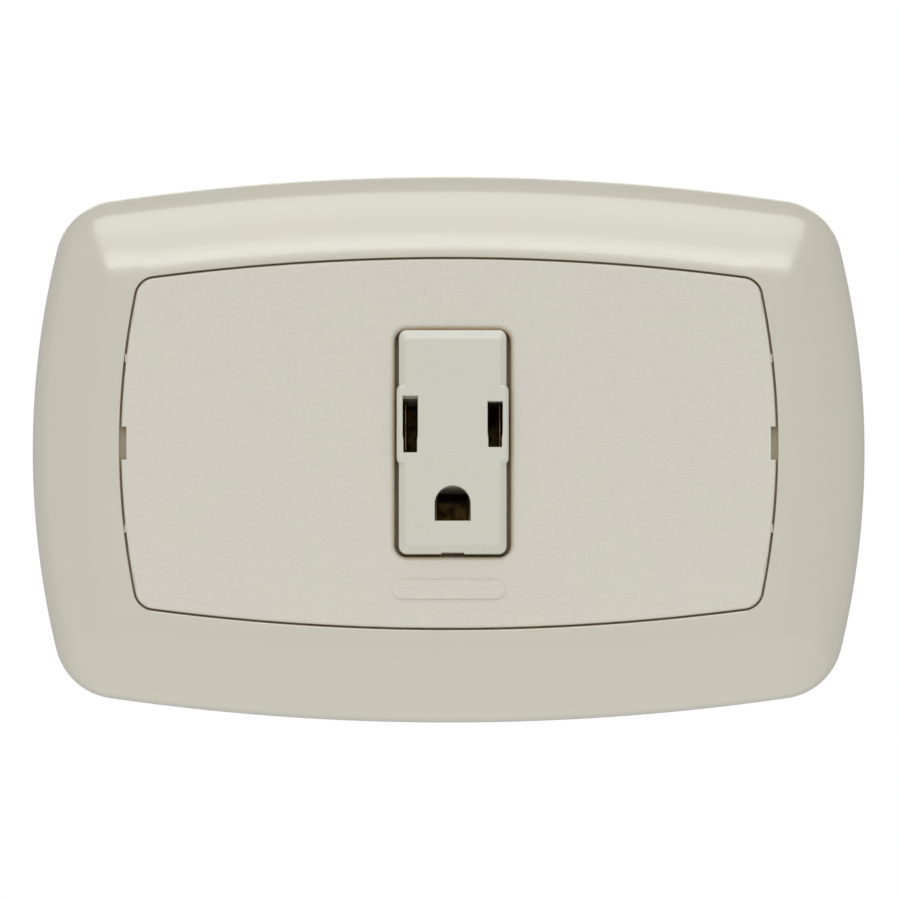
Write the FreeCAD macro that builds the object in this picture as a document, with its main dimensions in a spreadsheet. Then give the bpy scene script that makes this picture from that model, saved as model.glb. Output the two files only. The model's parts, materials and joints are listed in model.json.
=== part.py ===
import FreeCAD, Part
import math
import os
import Sketcher
from FreeCAD import Placement, Rotation, Vector

# A wall outlet: one three-pin socket module snapped into a three-bay wall plate.
# X runs to the right, Z up, and the front of the plate looks along -Y.
# The wall's surface is the plane Y = 0, and the origin is the plate's centre on it.
# In the sizes, a "height" is measured out of the wall and a "depth" into it.

SIZES = {
    # Cover frame: a bowed rectangle made of four wide arcs and four corner arcs.
    "plate_width": 125.0,
    "plate_height": 82.5,
    "top_arc_radius": 353.0,
    "side_arc_radius": 128.0,
    "outer_corner_radius": 9.7,
    "band_width": 13.2,
    "window_corner_radius": 3.2,
    "rim_height": 1.8,
    "crest_height": 9.2,
    "crown_overrun": 1.8,
    "shell_wall": 2.0,
    "cavity_taper": 2.5,
    "ledge_width": 3.0,
    "ledge_thickness": 1.8,
    # Clips on the back of the cover frame, and the lips of the strap that they grip.
    "clip_spacing": 60.0,
    "clip_width": 8.0,
    "clip_thickness": 1.8,
    "clip_clearance": 0.25,
    "clip_bump": 0.15,
    "clip_bump_height": 1.0,
    "clip_floor": 0.4,
    # Insert plate.
    "insert_thickness": 2.0,
    "insert_gap": 0.3,
    "insert_edge_radius": 0.35,
    "skirt_wall": 1.2,
    "skirt_depth": 2.6,
    "skirt_clearance": 0.3,
    "rib_wall": 1.2,
    "rib_depth": 1.4,
    "rib_spacing": 72.0,
    "window_edge_radius": 0.9,
    "window_corner": 1.7,
    "window_side_clearance": 0.275,
    "window_end_clearance": 0.35,
    "collar_wall": 1.2,
    "collar_clearance": 0.4,
    "pry_notch_height": 5.0,
    "pry_notch_depth": 0.8,
    "nib_offset": 12.8,
    "nib_height": 1.2,
    "nib_reach": 0.2,
    "badge_width": 16.8,
    "badge_height": 2.8,
    "badge_drop": 22.0,
    "badge_relief": 0.2,
    # Support strap.
    "strap_end_setback": 12.5,
    "strap_edge_inset": 0.05,
    "strap_thickness": 1.5,
    "strap_corner_radius": 4.0,
    "bay_clearance": 0.3,
    "bay_corner_radius": 1.2,
    "bay_pitch_gap": 0.4,
    "lip_wall": 1.2,
    "lip_height": 2.6,
    "lip_end_setback": 12.0,
    "tongue_width": 6.0,
    "tongue_wall": 1.0,
    "tongue_height": 3.0,
    "fixing_spacing": 83.3,
    "fixing_slot_width": 4.2,
    "fixing_slot_length": 7.0,
    # Fixing screws and the washers under their heads.
    "fixing_screw_radius": 1.75,
    "fixing_screw_length": 25.4,
    "fixing_head_radius": 3.5,
    "fixing_head_height": 2.2,
    "fixing_neck_relief": 0.35,
    "washer_radius": 4.2,
    "washer_thickness": 0.8,
    "screw_clearance": 0.05,
    # Socket module, front housing.
    "module_shift": 0.6,
    "module_width": 16.1,
    "module_height": 33.4,
    "module_corner_radius": 1.2,
    "module_bevel": 1.1,
    "module_proud": 1.5,
    "cheek_width": 16.75,
    "cheek_height": 12.2,
    "cheek_corner_radius": 0.9,
    "toe_notch_width": 3.4,
    "toe_notch_depth": 0.2,
    "waist_width": 20.0,
    "waist_height": 36.0,
    "waist_corner_radius": 1.0,
    "waist_top": 5.0,
    "catch_width": 5.0,
    "catch_reach": 0.2,
    "flange_width": 22.3,
    "flange_height": 39.0,
    "flange_depth": 3.0,
    "face_wall": 2.2,
    # Plug openings in the face.
    "blade_rise": 2.7,
    "blade_spacing": 12.7,
    "slot_width": 2.27,
    "slot_step": 0.12,
    "neutral_slot_height": 8.5,
    "hot_slot_height": 6.9,
    "ground_drop": 11.89,
    "ground_hole_width": 5.35,
    "ground_flat_drop": 2.62,
    # Brass contacts.
    "brass_thickness": 0.6,
    "blade_mouth_gap": 1.7,
    "blade_pinch_gap": 1.3,
    "blade_root_gap": 1.9,
    "blade_leaf_width": 7.2,
    "blade_bias": 0.25,
    "ground_mouth_gap": 4.8,
    "ground_pinch_gap": 4.2,
    "ground_root_gap": 4.8,
    "ground_leaf_width": 4.4,
    "leaf_top": 6.2,
    "pinch_height": 3.0,
    "contact_depth": 12.2,
    "chamber_clearance": 0.12,
    "chamber_end_clearance": 0.5,
    # Terminals, on the back of the module.
    "blade_terminal_x": 5.2,
    "blade_terminal_rise": 13.8,
    "ground_terminal_drop": 14.4,
    "tab_width": 7.6,
    "tab_half_length": 3.4,
    "tab_clearance": 0.2,
    "boss_radius": 2.6,
    "boss_height": 1.2,
    "clamp_width": 6.6,
    "clamp_length": 6.0,
    "clamp_thickness": 1.2,
    "clamp_groove": 0.3,
    "well_clearance": 0.2,
    "wire_gap": 2.0,
    "wire_entry_width": 3.4,
    "terminal_screw_radius": 1.75,
    "terminal_screw_length": 6.0,
    "terminal_head_radius": 2.9,
    "terminal_head_height": 2.0,
    # Rear housing of the module, and the two screws that hold it on.
    "base_width": 21.5,
    "base_height": 38.2,
    "base_corner_radius": 1.4,
    "base_depth": 19.5,
    "housing_screw_x": 7.3,
    "housing_screw_drop": 10.5,
    "housing_screw_radius": 1.25,
    "housing_screw_length": 11.0,
    "housing_head_radius": 2.2,
    "housing_head_height": 1.6,
    "counterbore_radius": 2.5,
    "counterbore_depth": 10.0,
    # Drive slots of all the screws.
    "drive_slot_width": 1.0,
    "drive_slot_depth": 1.0,
}

LOFT_STEPS = 6
BAYS = (-1, 0, 1)
SIDES = (-1, 1)

doc = FreeCAD.newDocument("wall_outlet")
sheet = doc.addObject("Spreadsheet::Sheet", "Sizes")
for row, (name, number) in enumerate(SIZES.items(), start=1):
    sheet.set(f"A{row}", name)
    sheet.set(f"B{row}", str(number))
    sheet.setAlias(f"B{row}", name)
doc.recompute()


class Size:
    """A length with the spreadsheet formula it comes from."""

    def __init__(self, number, formula):
        self.number = number
        self.formula = formula

    def __add__(self, other):
        other = as_size(other)
        return Size(self.number + other.number, f"({self.formula} + {other.formula})")

    def __sub__(self, other):
        other = as_size(other)
        return Size(self.number - other.number, f"({self.formula} - {other.formula})")

    def __mul__(self, factor):
        return Size(self.number * factor, f"({self.formula} * {factor!r})")

    def __truediv__(self, factor):
        return Size(self.number / factor, f"({self.formula} / {factor!r})")

    def __neg__(self):
        return Size(-self.number, f"(-1 * {self.formula})")


def as_size(value):
    return value if isinstance(value, Size) else Size(float(value), repr(float(value)))


def cell(name):
    return Size(sheet.get(name), f"Sizes.{name}")


def bow(radius, reach):
    """How far an arc of this radius falls back at the given reach from its middle."""
    number = radius.number - math.sqrt(radius.number ** 2 - reach.number ** 2)
    return Size(number, f"({radius.formula} - sqrt({radius.formula} ^ 2 - {reach.formula} ^ 2))")


ZERO = as_size(0)


# ---- Levels and places that several pieces share ----

insert_back = cell("crest_height") - cell("insert_thickness")
ledge_back = insert_back - cell("ledge_thickness")
opening_inset = cell("band_width") + cell("ledge_width")
face_height = cell("crest_height") + cell("module_proud")
chamber_top = face_height - cell("face_wall")
strap_half_width = cell("plate_width") / 2 - cell("strap_end_setback")
strap_half_height = cell("plate_height") / 2 - opening_inset - cell("strap_edge_inset")
bay_width = cell("waist_width") + cell("bay_clearance") * 2
bay_height = cell("waist_height") + cell("bay_clearance") * 2
bay_pitch = cell("flange_width") + cell("bay_pitch_gap")
window_width = cell("cheek_width") + cell("window_side_clearance") * 2
window_height = cell("module_height") + cell("window_end_clearance") * 2
blade_x = cell("blade_spacing") / 2
ground_z = cell("blade_rise") - cell("ground_drop")
clamp_depth = cell("contact_depth") + cell("wire_gap")
terminal_head_depth = clamp_depth + cell("clamp_thickness")
well_width = cell("clamp_width") + cell("well_clearance") * 2
well_length = cell("clamp_length") + cell("well_clearance") * 2


# ---- Sketch helpers ----

def bind(target, path, size):
    target.setExpression(path, size.formula)


def new_body(label, shift=None):
    body = doc.addObject("PartDesign::Body", label)
    body.Label = label
    if shift is not None:
        bind(body, "Placement.Base.x", shift)
    return body


def new_sketch(body, role, lift):
    plane = next(item for item in body.Origin.OriginFeatures if item.Role == role)
    sketch = body.newObject("Sketcher::SketchObject", f"{body.Label}_sketch")
    sketch.AttachmentSupport = [(plane, "")]
    sketch.MapMode = "FlatFace"
    bind(sketch, "AttachmentOffset.Base.z", lift)
    return sketch


def front_sketch(body, height):
    """A sketch parallel to the wall, whose normal points out of the wall."""
    return new_sketch(body, "XZ_Plane", height)


def dimension(sketch, kind, *places, size):
    index = sketch.addConstraint(Sketcher.Constraint(kind, *places, size.number))
    bind(sketch, f"Constraints[{index}]", size)


def place_point(sketch, geometry, vertex, x, y):
    dimension(sketch, "DistanceX", -1, 1, geometry, vertex, size=as_size(x))
    dimension(sketch, "DistanceY", -1, 1, geometry, vertex, size=as_size(y))


def add_polygon(sketch, points):
    corners = [Vector(as_size(x).number, as_size(y).number, 0) for x, y in points]
    count = len(corners)
    first = sketch.GeometryCount
    for index in range(count):
        sketch.addGeometry(Part.LineSegment(corners[index], corners[(index + 1) % count]))
    for index in range(count):
        after = first + (index + 1) % count
        sketch.addConstraint(Sketcher.Constraint("Coincident", first + index, 2, after, 1))
    for index, (x, y) in enumerate(points):
        place_point(sketch, first + index, 1, x, y)


def add_rectangle(sketch, x, y, width, height):
    left, right = x - width / 2, x + width / 2
    low, high = y - height / 2, y + height / 2
    add_polygon(sketch, [(left, low), (right, low), (right, high), (left, high)])


def add_circle(sketch, x, y, radius):
    centre = Vector(as_size(x).number, as_size(y).number, 0)
    index = sketch.addGeometry(Part.Circle(centre, Vector(0, 0, 1), radius.number))
    dimension(sketch, "Radius", index, size=radius)
    place_point(sketch, index, 3, x, y)


def add_arc(sketch, x, y, radius, start, end):
    circle = Part.Circle(Vector(x, y, 0), Vector(0, 0, 1), radius)
    return sketch.addGeometry(Part.ArcOfCircle(circle, start, end))


def join_tangent(sketch, first, count):
    for index in range(count):
        after = first + (index + 1) % count
        sketch.addConstraint(Sketcher.Constraint("Tangent", first + index, 2, after, 1))


def add_rounded_rectangle(sketch, x, y, width, height, corner):
    half_x, half_y = width.number / 2, height.number / 2
    mid_x, mid_y, radius = as_size(x).number, as_size(y).number, corner.number
    first = sketch.GeometryCount
    for quarter in range(4):
        turn = Rotation(Vector(0, 0, 1), 90 * quarter)
        reach_x, reach_y = (half_x, half_y) if quarter % 2 == 0 else (half_y, half_x)
        start = turn.multVec(Vector(reach_x, radius - reach_y, 0))
        end = turn.multVec(Vector(reach_x, reach_y - radius, 0))
        centre = turn.multVec(Vector(reach_x - radius, reach_y - radius, 0))
        middle = Vector(mid_x, mid_y, 0)
        sketch.addGeometry(Part.LineSegment(middle + start, middle + end))
        angle = math.pi / 2 * quarter
        add_arc(sketch, mid_x + centre.x, mid_y + centre.y, radius, angle, angle + math.pi / 2)
    join_tangent(sketch, first, 8)
    for line in (0, 4):
        sketch.addConstraint(Sketcher.Constraint("Vertical", first + line))
        sketch.addConstraint(Sketcher.Constraint("Horizontal", first + line + 2))
    for arc in (3, 5, 7):
        sketch.addConstraint(Sketcher.Constraint("Equal", first + 1, first + arc))
    dimension(sketch, "Radius", first + 1, size=corner)
    place_point(sketch, first + 1, 3, as_size(x) + width / 2 - corner, as_size(y) + height / 2 - corner)
    place_point(sketch, first + 5, 3, as_size(x) - width / 2 + corner, as_size(y) - height / 2 + corner)


def add_bowed_outline(sketch, inset, corner):
    """The plate's outline, moved inwards by inset, with corner arcs of the given radius."""
    top_radius = cell("top_arc_radius") - inset
    side_radius = cell("side_arc_radius") - inset
    top_y = cell("plate_height") / 2 - cell("top_arc_radius")
    side_x = cell("plate_width") / 2 - cell("side_arc_radius")

    # The corner arc touches both wide arcs from inside, so its centre lies at these reaches.
    top_centre, side_centre = Vector(0, top_y.number, 0), Vector(side_x.number, 0, 0)
    top_reach, side_reach = (top_radius - corner).number, (side_radius - corner).number
    between = side_centre - top_centre
    along = (top_reach ** 2 - side_reach ** 2 + between.Length ** 2) / (2 * between.Length)
    across = math.sqrt(top_reach ** 2 - along ** 2)
    direction = Vector(between).normalize()
    corner_centre = top_centre + direction * along + Vector(direction.y, -direction.x, 0) * across
    from_top, from_side = corner_centre - top_centre, corner_centre - side_centre
    top_angle = math.atan2(from_top.y, from_top.x)
    side_angle = math.atan2(from_side.y, from_side.x)

    x, y, radius, turn = corner_centre.x, corner_centre.y, corner.number, math.pi
    first = sketch.GeometryCount
    add_arc(sketch, side_x.number, 0, side_radius.number, -side_angle, side_angle)
    add_arc(sketch, x, y, radius, side_angle, top_angle)
    add_arc(sketch, 0, top_y.number, top_radius.number, top_angle, turn - top_angle)
    add_arc(sketch, -x, y, radius, turn - top_angle, turn - side_angle)
    add_arc(sketch, -side_x.number, 0, side_radius.number, turn - side_angle, turn + side_angle)
    add_arc(sketch, -x, -y, radius, turn + side_angle, turn + top_angle)
    add_arc(sketch, 0, -top_y.number, top_radius.number, turn + top_angle, 2 * turn - top_angle)
    add_arc(sketch, x, -y, radius, 2 * turn - top_angle, 2 * turn - side_angle)
    join_tangent(sketch, first, 8)
    for sign, right, top in ((1, first, first + 2), (-1, first + 4, first + 6)):
        place_point(sketch, right, 3, side_x * sign, ZERO)
        place_point(sketch, top, 3, ZERO, top_y * sign)
    sketch.addConstraint(Sketcher.Constraint("Equal", first, first + 4))
    sketch.addConstraint(Sketcher.Constraint("Equal", first + 2, first + 6))
    for arc in (3, 5, 7):
        sketch.addConstraint(Sketcher.Constraint("Equal", first + 1, first + arc))
    dimension(sketch, "Radius", first, size=side_radius)
    dimension(sketch, "Radius", first + 2, size=top_radius)
    dimension(sketch, "Radius", first + 1, size=corner)


# ---- Feature helpers ----

def volume_of(body):
    return 0.0 if body.Shape.isNull() else body.Shape.Volume


def add_feature(body, kind, sketch):
    """Adds a sketch-based feature; also gives the body's volume before it."""
    feature = body.newObject(f"PartDesign::{kind}", f"{body.Label}_{kind.lower()}")
    feature.Profile = sketch
    return feature, volume_of(body)


def finish_feature(body, feature, before, grows):
    """Makes sure that the feature added or cut material as it should."""
    doc.recompute()
    change = volume_of(body) - before
    if change * (1 if grows else -1) <= 1e-4:
        raise RuntimeError(f"{feature.Name} changed the volume of {body.Label} by {change:.4f}")
    return feature


def pad(body, sketch, length, backwards=False, both_ways=False):
    feature, before = add_feature(body, "Pad", sketch)
    bind(feature, "Length", length)
    feature.Reversed = backwards
    feature.Midplane = both_ways
    return finish_feature(body, feature, before, True)


def pocket(body, sketch, length, along_normal=False, both_ways=False):
    feature, before = add_feature(body, "Pocket", sketch)
    bind(feature, "Length", length)
    feature.Reversed = along_normal
    feature.Midplane = both_ways
    return finish_feature(body, feature, before, False)


def loft(body, kind, sketches, grows):
    feature, before = add_feature(body, kind, sketches[0])
    feature.Sections = sketches[1:]
    feature.Ruled = False
    return finish_feature(body, feature, before, grows)


def fillet(body, base, radius, test):
    """Rounds the edges of base whose points all pass the test."""
    names = []
    for index, edge in enumerate(base.Shape.Edges, start=1):
        if all(test(point) for point in edge.discretize(5)):
            names.append(f"Edge{index}")
    if not names:
        raise RuntimeError(f"no edge of {body.Label} to round")
    feature = body.newObject("PartDesign::Fillet", f"{body.Label}_fillet")
    feature.Base = (base, names)
    bind(feature, "Radius", radius)
    doc.recompute()
    return feature


def at_height(size):
    return lambda point: abs(-point.y - size.number) < 1e-3


def revolve(body, sketch):
    feature, before = add_feature(body, "Revolution", sketch)
    feature.ReferenceAxis = (sketch, ["V_Axis"])
    feature.Angle = 360
    return finish_feature(body, feature, before, True)


# ---- Cover frame ----

def make_outer_frame():
    body = new_body("outer_frame")
    rim = front_sketch(body, ZERO)
    add_bowed_outline(rim, ZERO, cell("outer_corner_radius"))
    pad(body, rim, cell("rim_height"))

    # The band rises as a quarter ellipse whose crown lies just inside the window's edge.
    crown_width = cell("band_width") + cell("crown_overrun")
    sections = []
    for step in range(LOFT_STEPS + 1):
        angle = math.pi / 2 * step / LOFT_STEPS
        inward, upward = 1 - math.cos(angle), math.sin(angle)
        height = cell("rim_height") + (cell("crest_height") - cell("rim_height")) * upward
        corner_change = cell("window_corner_radius") - cell("outer_corner_radius")
        section = front_sketch(body, height)
        add_bowed_outline(section, crown_width * inward, cell("outer_corner_radius") + corner_change * inward)
        sections.append(section)
    loft(body, "AdditiveLoft", sections, True)

    # The window's cut starts above the crest, clear of the band's top.
    window = front_sketch(body, cell("crest_height") + cell("crown_overrun"))
    add_bowed_outline(window, cell("band_width"), cell("window_corner_radius"))
    pocket(body, window, cell("insert_thickness") + cell("crown_overrun"))

    opening = front_sketch(body, insert_back)
    add_bowed_outline(opening, opening_inset, cell("window_corner_radius"))
    pocket(body, opening, insert_back)

    # The hollow behind the band narrows towards the front, so that the shell keeps its wall.
    back = front_sketch(body, ZERO)
    add_bowed_outline(back, cell("shell_wall"), cell("outer_corner_radius") - cell("shell_wall"))
    ceiling = front_sketch(body, ledge_back)
    ceiling_inset = cell("shell_wall") + cell("cavity_taper")
    add_bowed_outline(ceiling, ceiling_inset, cell("outer_corner_radius") - ceiling_inset)
    loft(body, "SubtractiveLoft", [back, ceiling], False)

    # Clips hang from the ledge and hold the lips of the strap.
    clip_z = strap_half_height + cell("clip_clearance") + cell("clip_thickness") / 2
    clip_length = ledge_back - cell("clip_floor")
    bump_height = cell("strap_thickness") + cell("lip_height") / 2
    for side_x in SIDES:
        for side_z in SIDES:
            post = front_sketch(body, ledge_back)
            middle_x = cell("clip_spacing") / 2 * side_x
            add_rectangle(post, middle_x, clip_z * side_z, cell("clip_width"), cell("clip_thickness"))
            pad(body, post, clip_length, backwards=True)
            bump = front_sketch(body, bump_height - cell("clip_bump_height") / 2)
            bump_z = clip_z - cell("clip_bump") / 2 - cell("clip_thickness") / 4
            bump_reach = cell("clip_thickness") / 2 + cell("clip_bump")
            add_rectangle(bump, middle_x, bump_z * side_z, cell("clip_width") / 2, bump_reach)
            pad(body, bump, cell("clip_bump_height"))
    return body


# ---- Insert plate ----

def make_insert_plate():
    body = new_body("insert_plate")
    plate = front_sketch(body, insert_back)
    plate_inset = cell("band_width") + cell("insert_gap")
    add_bowed_outline(plate, plate_inset, cell("window_corner_radius") - cell("insert_gap"))
    base = pad(body, plate, cell("insert_thickness"))
    fillet(body, base, cell("insert_edge_radius"), at_height(cell("crest_height")))

    # A screwdriver goes into the notches at both ends to lift the plate out.
    half_width = cell("plate_width") / 2 - plate_inset
    notches = front_sketch(body, cell("crest_height"))
    for side in SIDES:
        notch_x = (half_width - cell("pry_notch_depth") / 2 + cell("insert_gap") / 2) * side
        notch_reach = cell("pry_notch_depth") + cell("insert_gap")
        add_rectangle(notches, notch_x, ZERO, notch_reach, cell("pry_notch_height"))
    pocket(body, notches, cell("insert_thickness"))

    # Nibs keep the plate centred between the sides of the frame.
    fall = bow(cell("side_arc_radius") - plate_inset, cell("nib_offset"))
    nibs = front_sketch(body, insert_back)
    for side in SIDES:
        for rise in SIDES:
            nib_x = (half_width - fall) * side
            nib_reach = cell("nib_reach") * 2
            add_rectangle(nibs, nib_x, cell("nib_offset") * rise, nib_reach, cell("nib_height"))
    pad(body, nibs, cell("insert_thickness") - cell("insert_edge_radius"))

    # A skirt drops into the frame's opening, and two ribs stiffen the plate behind.
    skirt = front_sketch(body, insert_back)
    skirt_inset = opening_inset + cell("skirt_clearance")
    skirt_corner = cell("window_corner_radius") - cell("skirt_clearance")
    add_bowed_outline(skirt, skirt_inset, skirt_corner)
    add_bowed_outline(skirt, skirt_inset + cell("skirt_wall"), skirt_corner - cell("skirt_wall"))
    pad(body, skirt, cell("skirt_depth"), backwards=True)
    ribs = front_sketch(body, insert_back)
    rib_fall = bow(cell("top_arc_radius") - skirt_inset, cell("rib_spacing") / 2)
    rib_end = cell("plate_height") / 2 - skirt_inset - rib_fall - cell("skirt_wall") / 2
    for side in SIDES:
        rib_x = cell("rib_spacing") / 2 * side
        add_rectangle(ribs, rib_x, ZERO, cell("rib_wall"), rib_end * 2)
    pad(body, ribs, cell("rib_depth"), backwards=True)

    window = front_sketch(body, cell("crest_height"))
    shift = cell("module_shift")
    add_rounded_rectangle(window, shift, ZERO, window_width, window_height, cell("window_corner"))
    cut = pocket(body, window, cell("insert_thickness"))

    def round_window(point):
        inside = abs(point.x - shift.number) < window_width.number / 2 + 0.01
        return inside and abs(point.z) < window_height.number / 2 + 0.01 and at_height(cell("crest_height"))(point)
    fillet(body, cut, cell("window_edge_radius"), round_window)

    collar = front_sketch(body, insert_back)
    wall = cell("collar_wall")
    collar_corner = cell("window_corner") + wall
    add_rounded_rectangle(collar, shift, ZERO, window_width, window_height, cell("window_corner"))
    add_rounded_rectangle(collar, shift, ZERO, window_width + wall * 2, window_height + wall * 2, collar_corner)
    pad(body, collar, insert_back - cell("waist_top") - cell("collar_clearance"), backwards=True)

    # A blank raised badge below the socket.
    badge = front_sketch(body, cell("crest_height"))
    badge_corner = cell("badge_height") / 2 * 0.999
    badge_z = -cell("badge_drop")
    add_rounded_rectangle(badge, ZERO, badge_z, cell("badge_width"), cell("badge_height"), badge_corner)
    pad(body, badge, cell("badge_relief"))
    return body


# ---- Support strap ----

def make_support_frame():
    body = new_body("support_frame")
    thickness = cell("strap_thickness")
    plate = front_sketch(body, ZERO)
    strap_corner = cell("strap_corner_radius")
    add_rounded_rectangle(plate, ZERO, ZERO, strap_half_width * 2, strap_half_height * 2, strap_corner)
    pad(body, plate, thickness)

    for bay in BAYS:
        opening = front_sketch(body, thickness)
        bay_x = cell("module_shift") + bay_pitch * bay
        add_rounded_rectangle(opening, bay_x, ZERO, bay_width, bay_height, cell("bay_corner_radius"))
        pocket(body, opening, thickness)

    for side in SIDES:
        slot = front_sketch(body, thickness)
        slot_corner = cell("fixing_slot_width") / 2 * 0.999
        slot_x = cell("fixing_spacing") / 2 * side
        slot_length = cell("fixing_slot_length")
        add_rounded_rectangle(slot, slot_x, ZERO, slot_length, cell("fixing_slot_width"), slot_corner)
        pocket(body, slot, thickness)

    lips = front_sketch(body, thickness)
    lip_length = (strap_half_width - cell("lip_end_setback")) * 2
    for side in SIDES:
        lip_z = (strap_half_height - cell("lip_wall") / 2) * side
        add_rectangle(lips, ZERO, lip_z, lip_length, cell("lip_wall"))
    pad(body, lips, cell("lip_height"))

    # Windows in both lips, where the bumps of the cover's clips rest.
    windows = new_sketch(body, "XY_Plane", ZERO)
    window_height_at = thickness + cell("lip_height") / 2
    for side in SIDES:
        middle_x = cell("clip_spacing") / 2 * side
        add_rectangle(windows, middle_x, -window_height_at, cell("clip_width"), cell("lip_height") / 2)
    pocket(body, windows, strap_half_height * 2.5, both_ways=True)

    # Spring tongues above and below each bay, which grip the module.
    tongues = front_sketch(body, thickness)
    for bay in BAYS:
        for side in SIDES:
            tongue_z = (bay_height / 2 + cell("tongue_wall") / 2) * side
            tongue_x = cell("module_shift") + bay_pitch * bay
            add_rectangle(tongues, tongue_x, tongue_z, cell("tongue_width"), cell("tongue_wall"))
    pad(body, tongues, cell("tongue_height"))
    return body


# ---- Screws and washers ----

def make_screw(label, radius, length, head_radius, head_height, place, neck=None):
    """A pan-head screw whose shank runs along +Y from the head's seat at Y = 0.

    A neck, if there is one, is the (radius, length) of the plain stretch under the head.
    """
    body = new_body(label)
    profile = new_sketch(body, "XY_Plane", ZERO)
    point = radius * 0.3
    head = [
        (ZERO, -head_height), (head_radius * 0.55, -head_height), (head_radius * 0.85, head_height * -0.8),
        (head_radius, head_height * -0.45), (head_radius, ZERO),
    ]
    root = [(neck[0], ZERO), neck, (radius, neck[1])] if neck else [(radius, ZERO)]
    end = [(radius, length - point), (radius - point, length), (ZERO, length)]
    add_polygon(profile, head + root + end)
    revolve(body, profile)
    slot = new_sketch(body, "XZ_Plane", head_height)
    add_rectangle(slot, ZERO, ZERO, head_radius * 2.2, cell("drive_slot_width"))
    pocket(body, slot, cell("drive_slot_depth"))
    body.Placement = place[0]
    for axis, size in zip("xyz", place[1]):
        bind(body, f"Placement.Base.{axis}", size)
    return body


def make_fixing_parts():
    made = []
    seat_height = cell("strap_thickness") + cell("washer_thickness")
    # The thread starts just behind the strap, below a thinner neck.
    neck = (cell("fixing_screw_radius") - cell("fixing_neck_relief"), seat_height + cell("screw_clearance"))
    for name, side in (("left", -1), ("right", 1)):
        middle_x = cell("fixing_spacing") / 2 * side
        seat = (Placement(), (middle_x, -seat_height, ZERO))
        made.append(make_screw(
            f"fixing_screw_{name}", cell("fixing_screw_radius"), cell("fixing_screw_length"),
            cell("fixing_head_radius"), cell("fixing_head_height"), seat, neck))
        washer = new_body(f"fixing_washer_{name}", middle_x)
        outline = front_sketch(washer, cell("strap_thickness"))
        add_circle(outline, ZERO, ZERO, cell("washer_radius"))
        add_circle(outline, ZERO, ZERO, cell("fixing_screw_radius") + cell("screw_clearance"))
        pad(washer, outline, cell("washer_thickness"))
        made.append(washer)
    return made


# ---- Socket module ----

def blade_chamber(side):
    """Middle x and width of the chamber round a blade contact; side is 1 for hot, -1 for neutral."""
    reach = cell("blade_root_gap") / 2 + cell("brass_thickness") + cell("chamber_clearance")
    middle = blade_x - cell("blade_bias")
    return middle * side, reach * 2


def chambers():
    """The three contact chambers as (x, z, width, height)."""
    found = []
    blade_height = cell("blade_leaf_width") + cell("chamber_end_clearance") * 2
    for side in SIDES:
        middle, width = blade_chamber(side)
        found.append((middle, cell("blade_rise"), width, blade_height))
    ground_width = cell("ground_root_gap") + (cell("brass_thickness") + cell("chamber_clearance")) * 2
    ground_height = cell("ground_leaf_width") + cell("chamber_end_clearance") * 2
    found.append((ZERO, ground_z, ground_width, ground_height))
    return found


def terminals():
    """The three terminals as (name, x, z, sign of the end where the wire comes in)."""
    rise, drop = cell("blade_terminal_rise"), -cell("ground_terminal_drop")
    side = cell("blade_terminal_x")
    return [("neutral", -side, rise, 1), ("hot", side, rise, 1), ("ground", ZERO, drop, -1)]


def blade_slot(x, height):
    """A blade slot that is slightly narrower in its lower quarter."""
    low, high = cell("blade_rise") - height / 2, cell("blade_rise") + height / 2
    knee = low + height / 4
    half = cell("slot_width") / 2
    narrow = half - cell("slot_step")
    return [
        (x - narrow, low), (x + narrow, low), (x + narrow, knee), (x + half, knee),
        (x + half, high), (x - half, high), (x - half, knee), (x - narrow, knee),
    ]


def add_ground_hole(sketch):
    """An arch over a flat, for the round grounding pin."""
    half = cell("ground_hole_width") / 2
    x, z, low = half.number, ground_z.number, (ground_z - cell("ground_flat_drop")).number
    first = sketch.GeometryCount
    add_arc(sketch, 0, z, x, 0, math.pi)
    sketch.addGeometry(Part.LineSegment(Vector(-x, z, 0), Vector(-x, low, 0)))
    sketch.addGeometry(Part.LineSegment(Vector(-x, low, 0), Vector(x, low, 0)))
    sketch.addGeometry(Part.LineSegment(Vector(x, low, 0), Vector(x, z, 0)))
    for index, after in ((0, 1), (1, 2), (2, 3), (3, 0)):
        sketch.addConstraint(Sketcher.Constraint("Coincident", first + index, 2, first + after, 1))
    dimension(sketch, "Radius", first, size=half)
    place_point(sketch, first, 3, ZERO, ground_z)
    place_point(sketch, first + 2, 1, -half, ground_z - cell("ground_flat_drop"))
    place_point(sketch, first + 2, 2, half, ground_z - cell("ground_flat_drop"))
    sketch.addConstraint(Sketcher.Constraint("Horizontal", first, 1, first, 3))
    sketch.addConstraint(Sketcher.Constraint("Horizontal", first, 2, first, 3))


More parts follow.
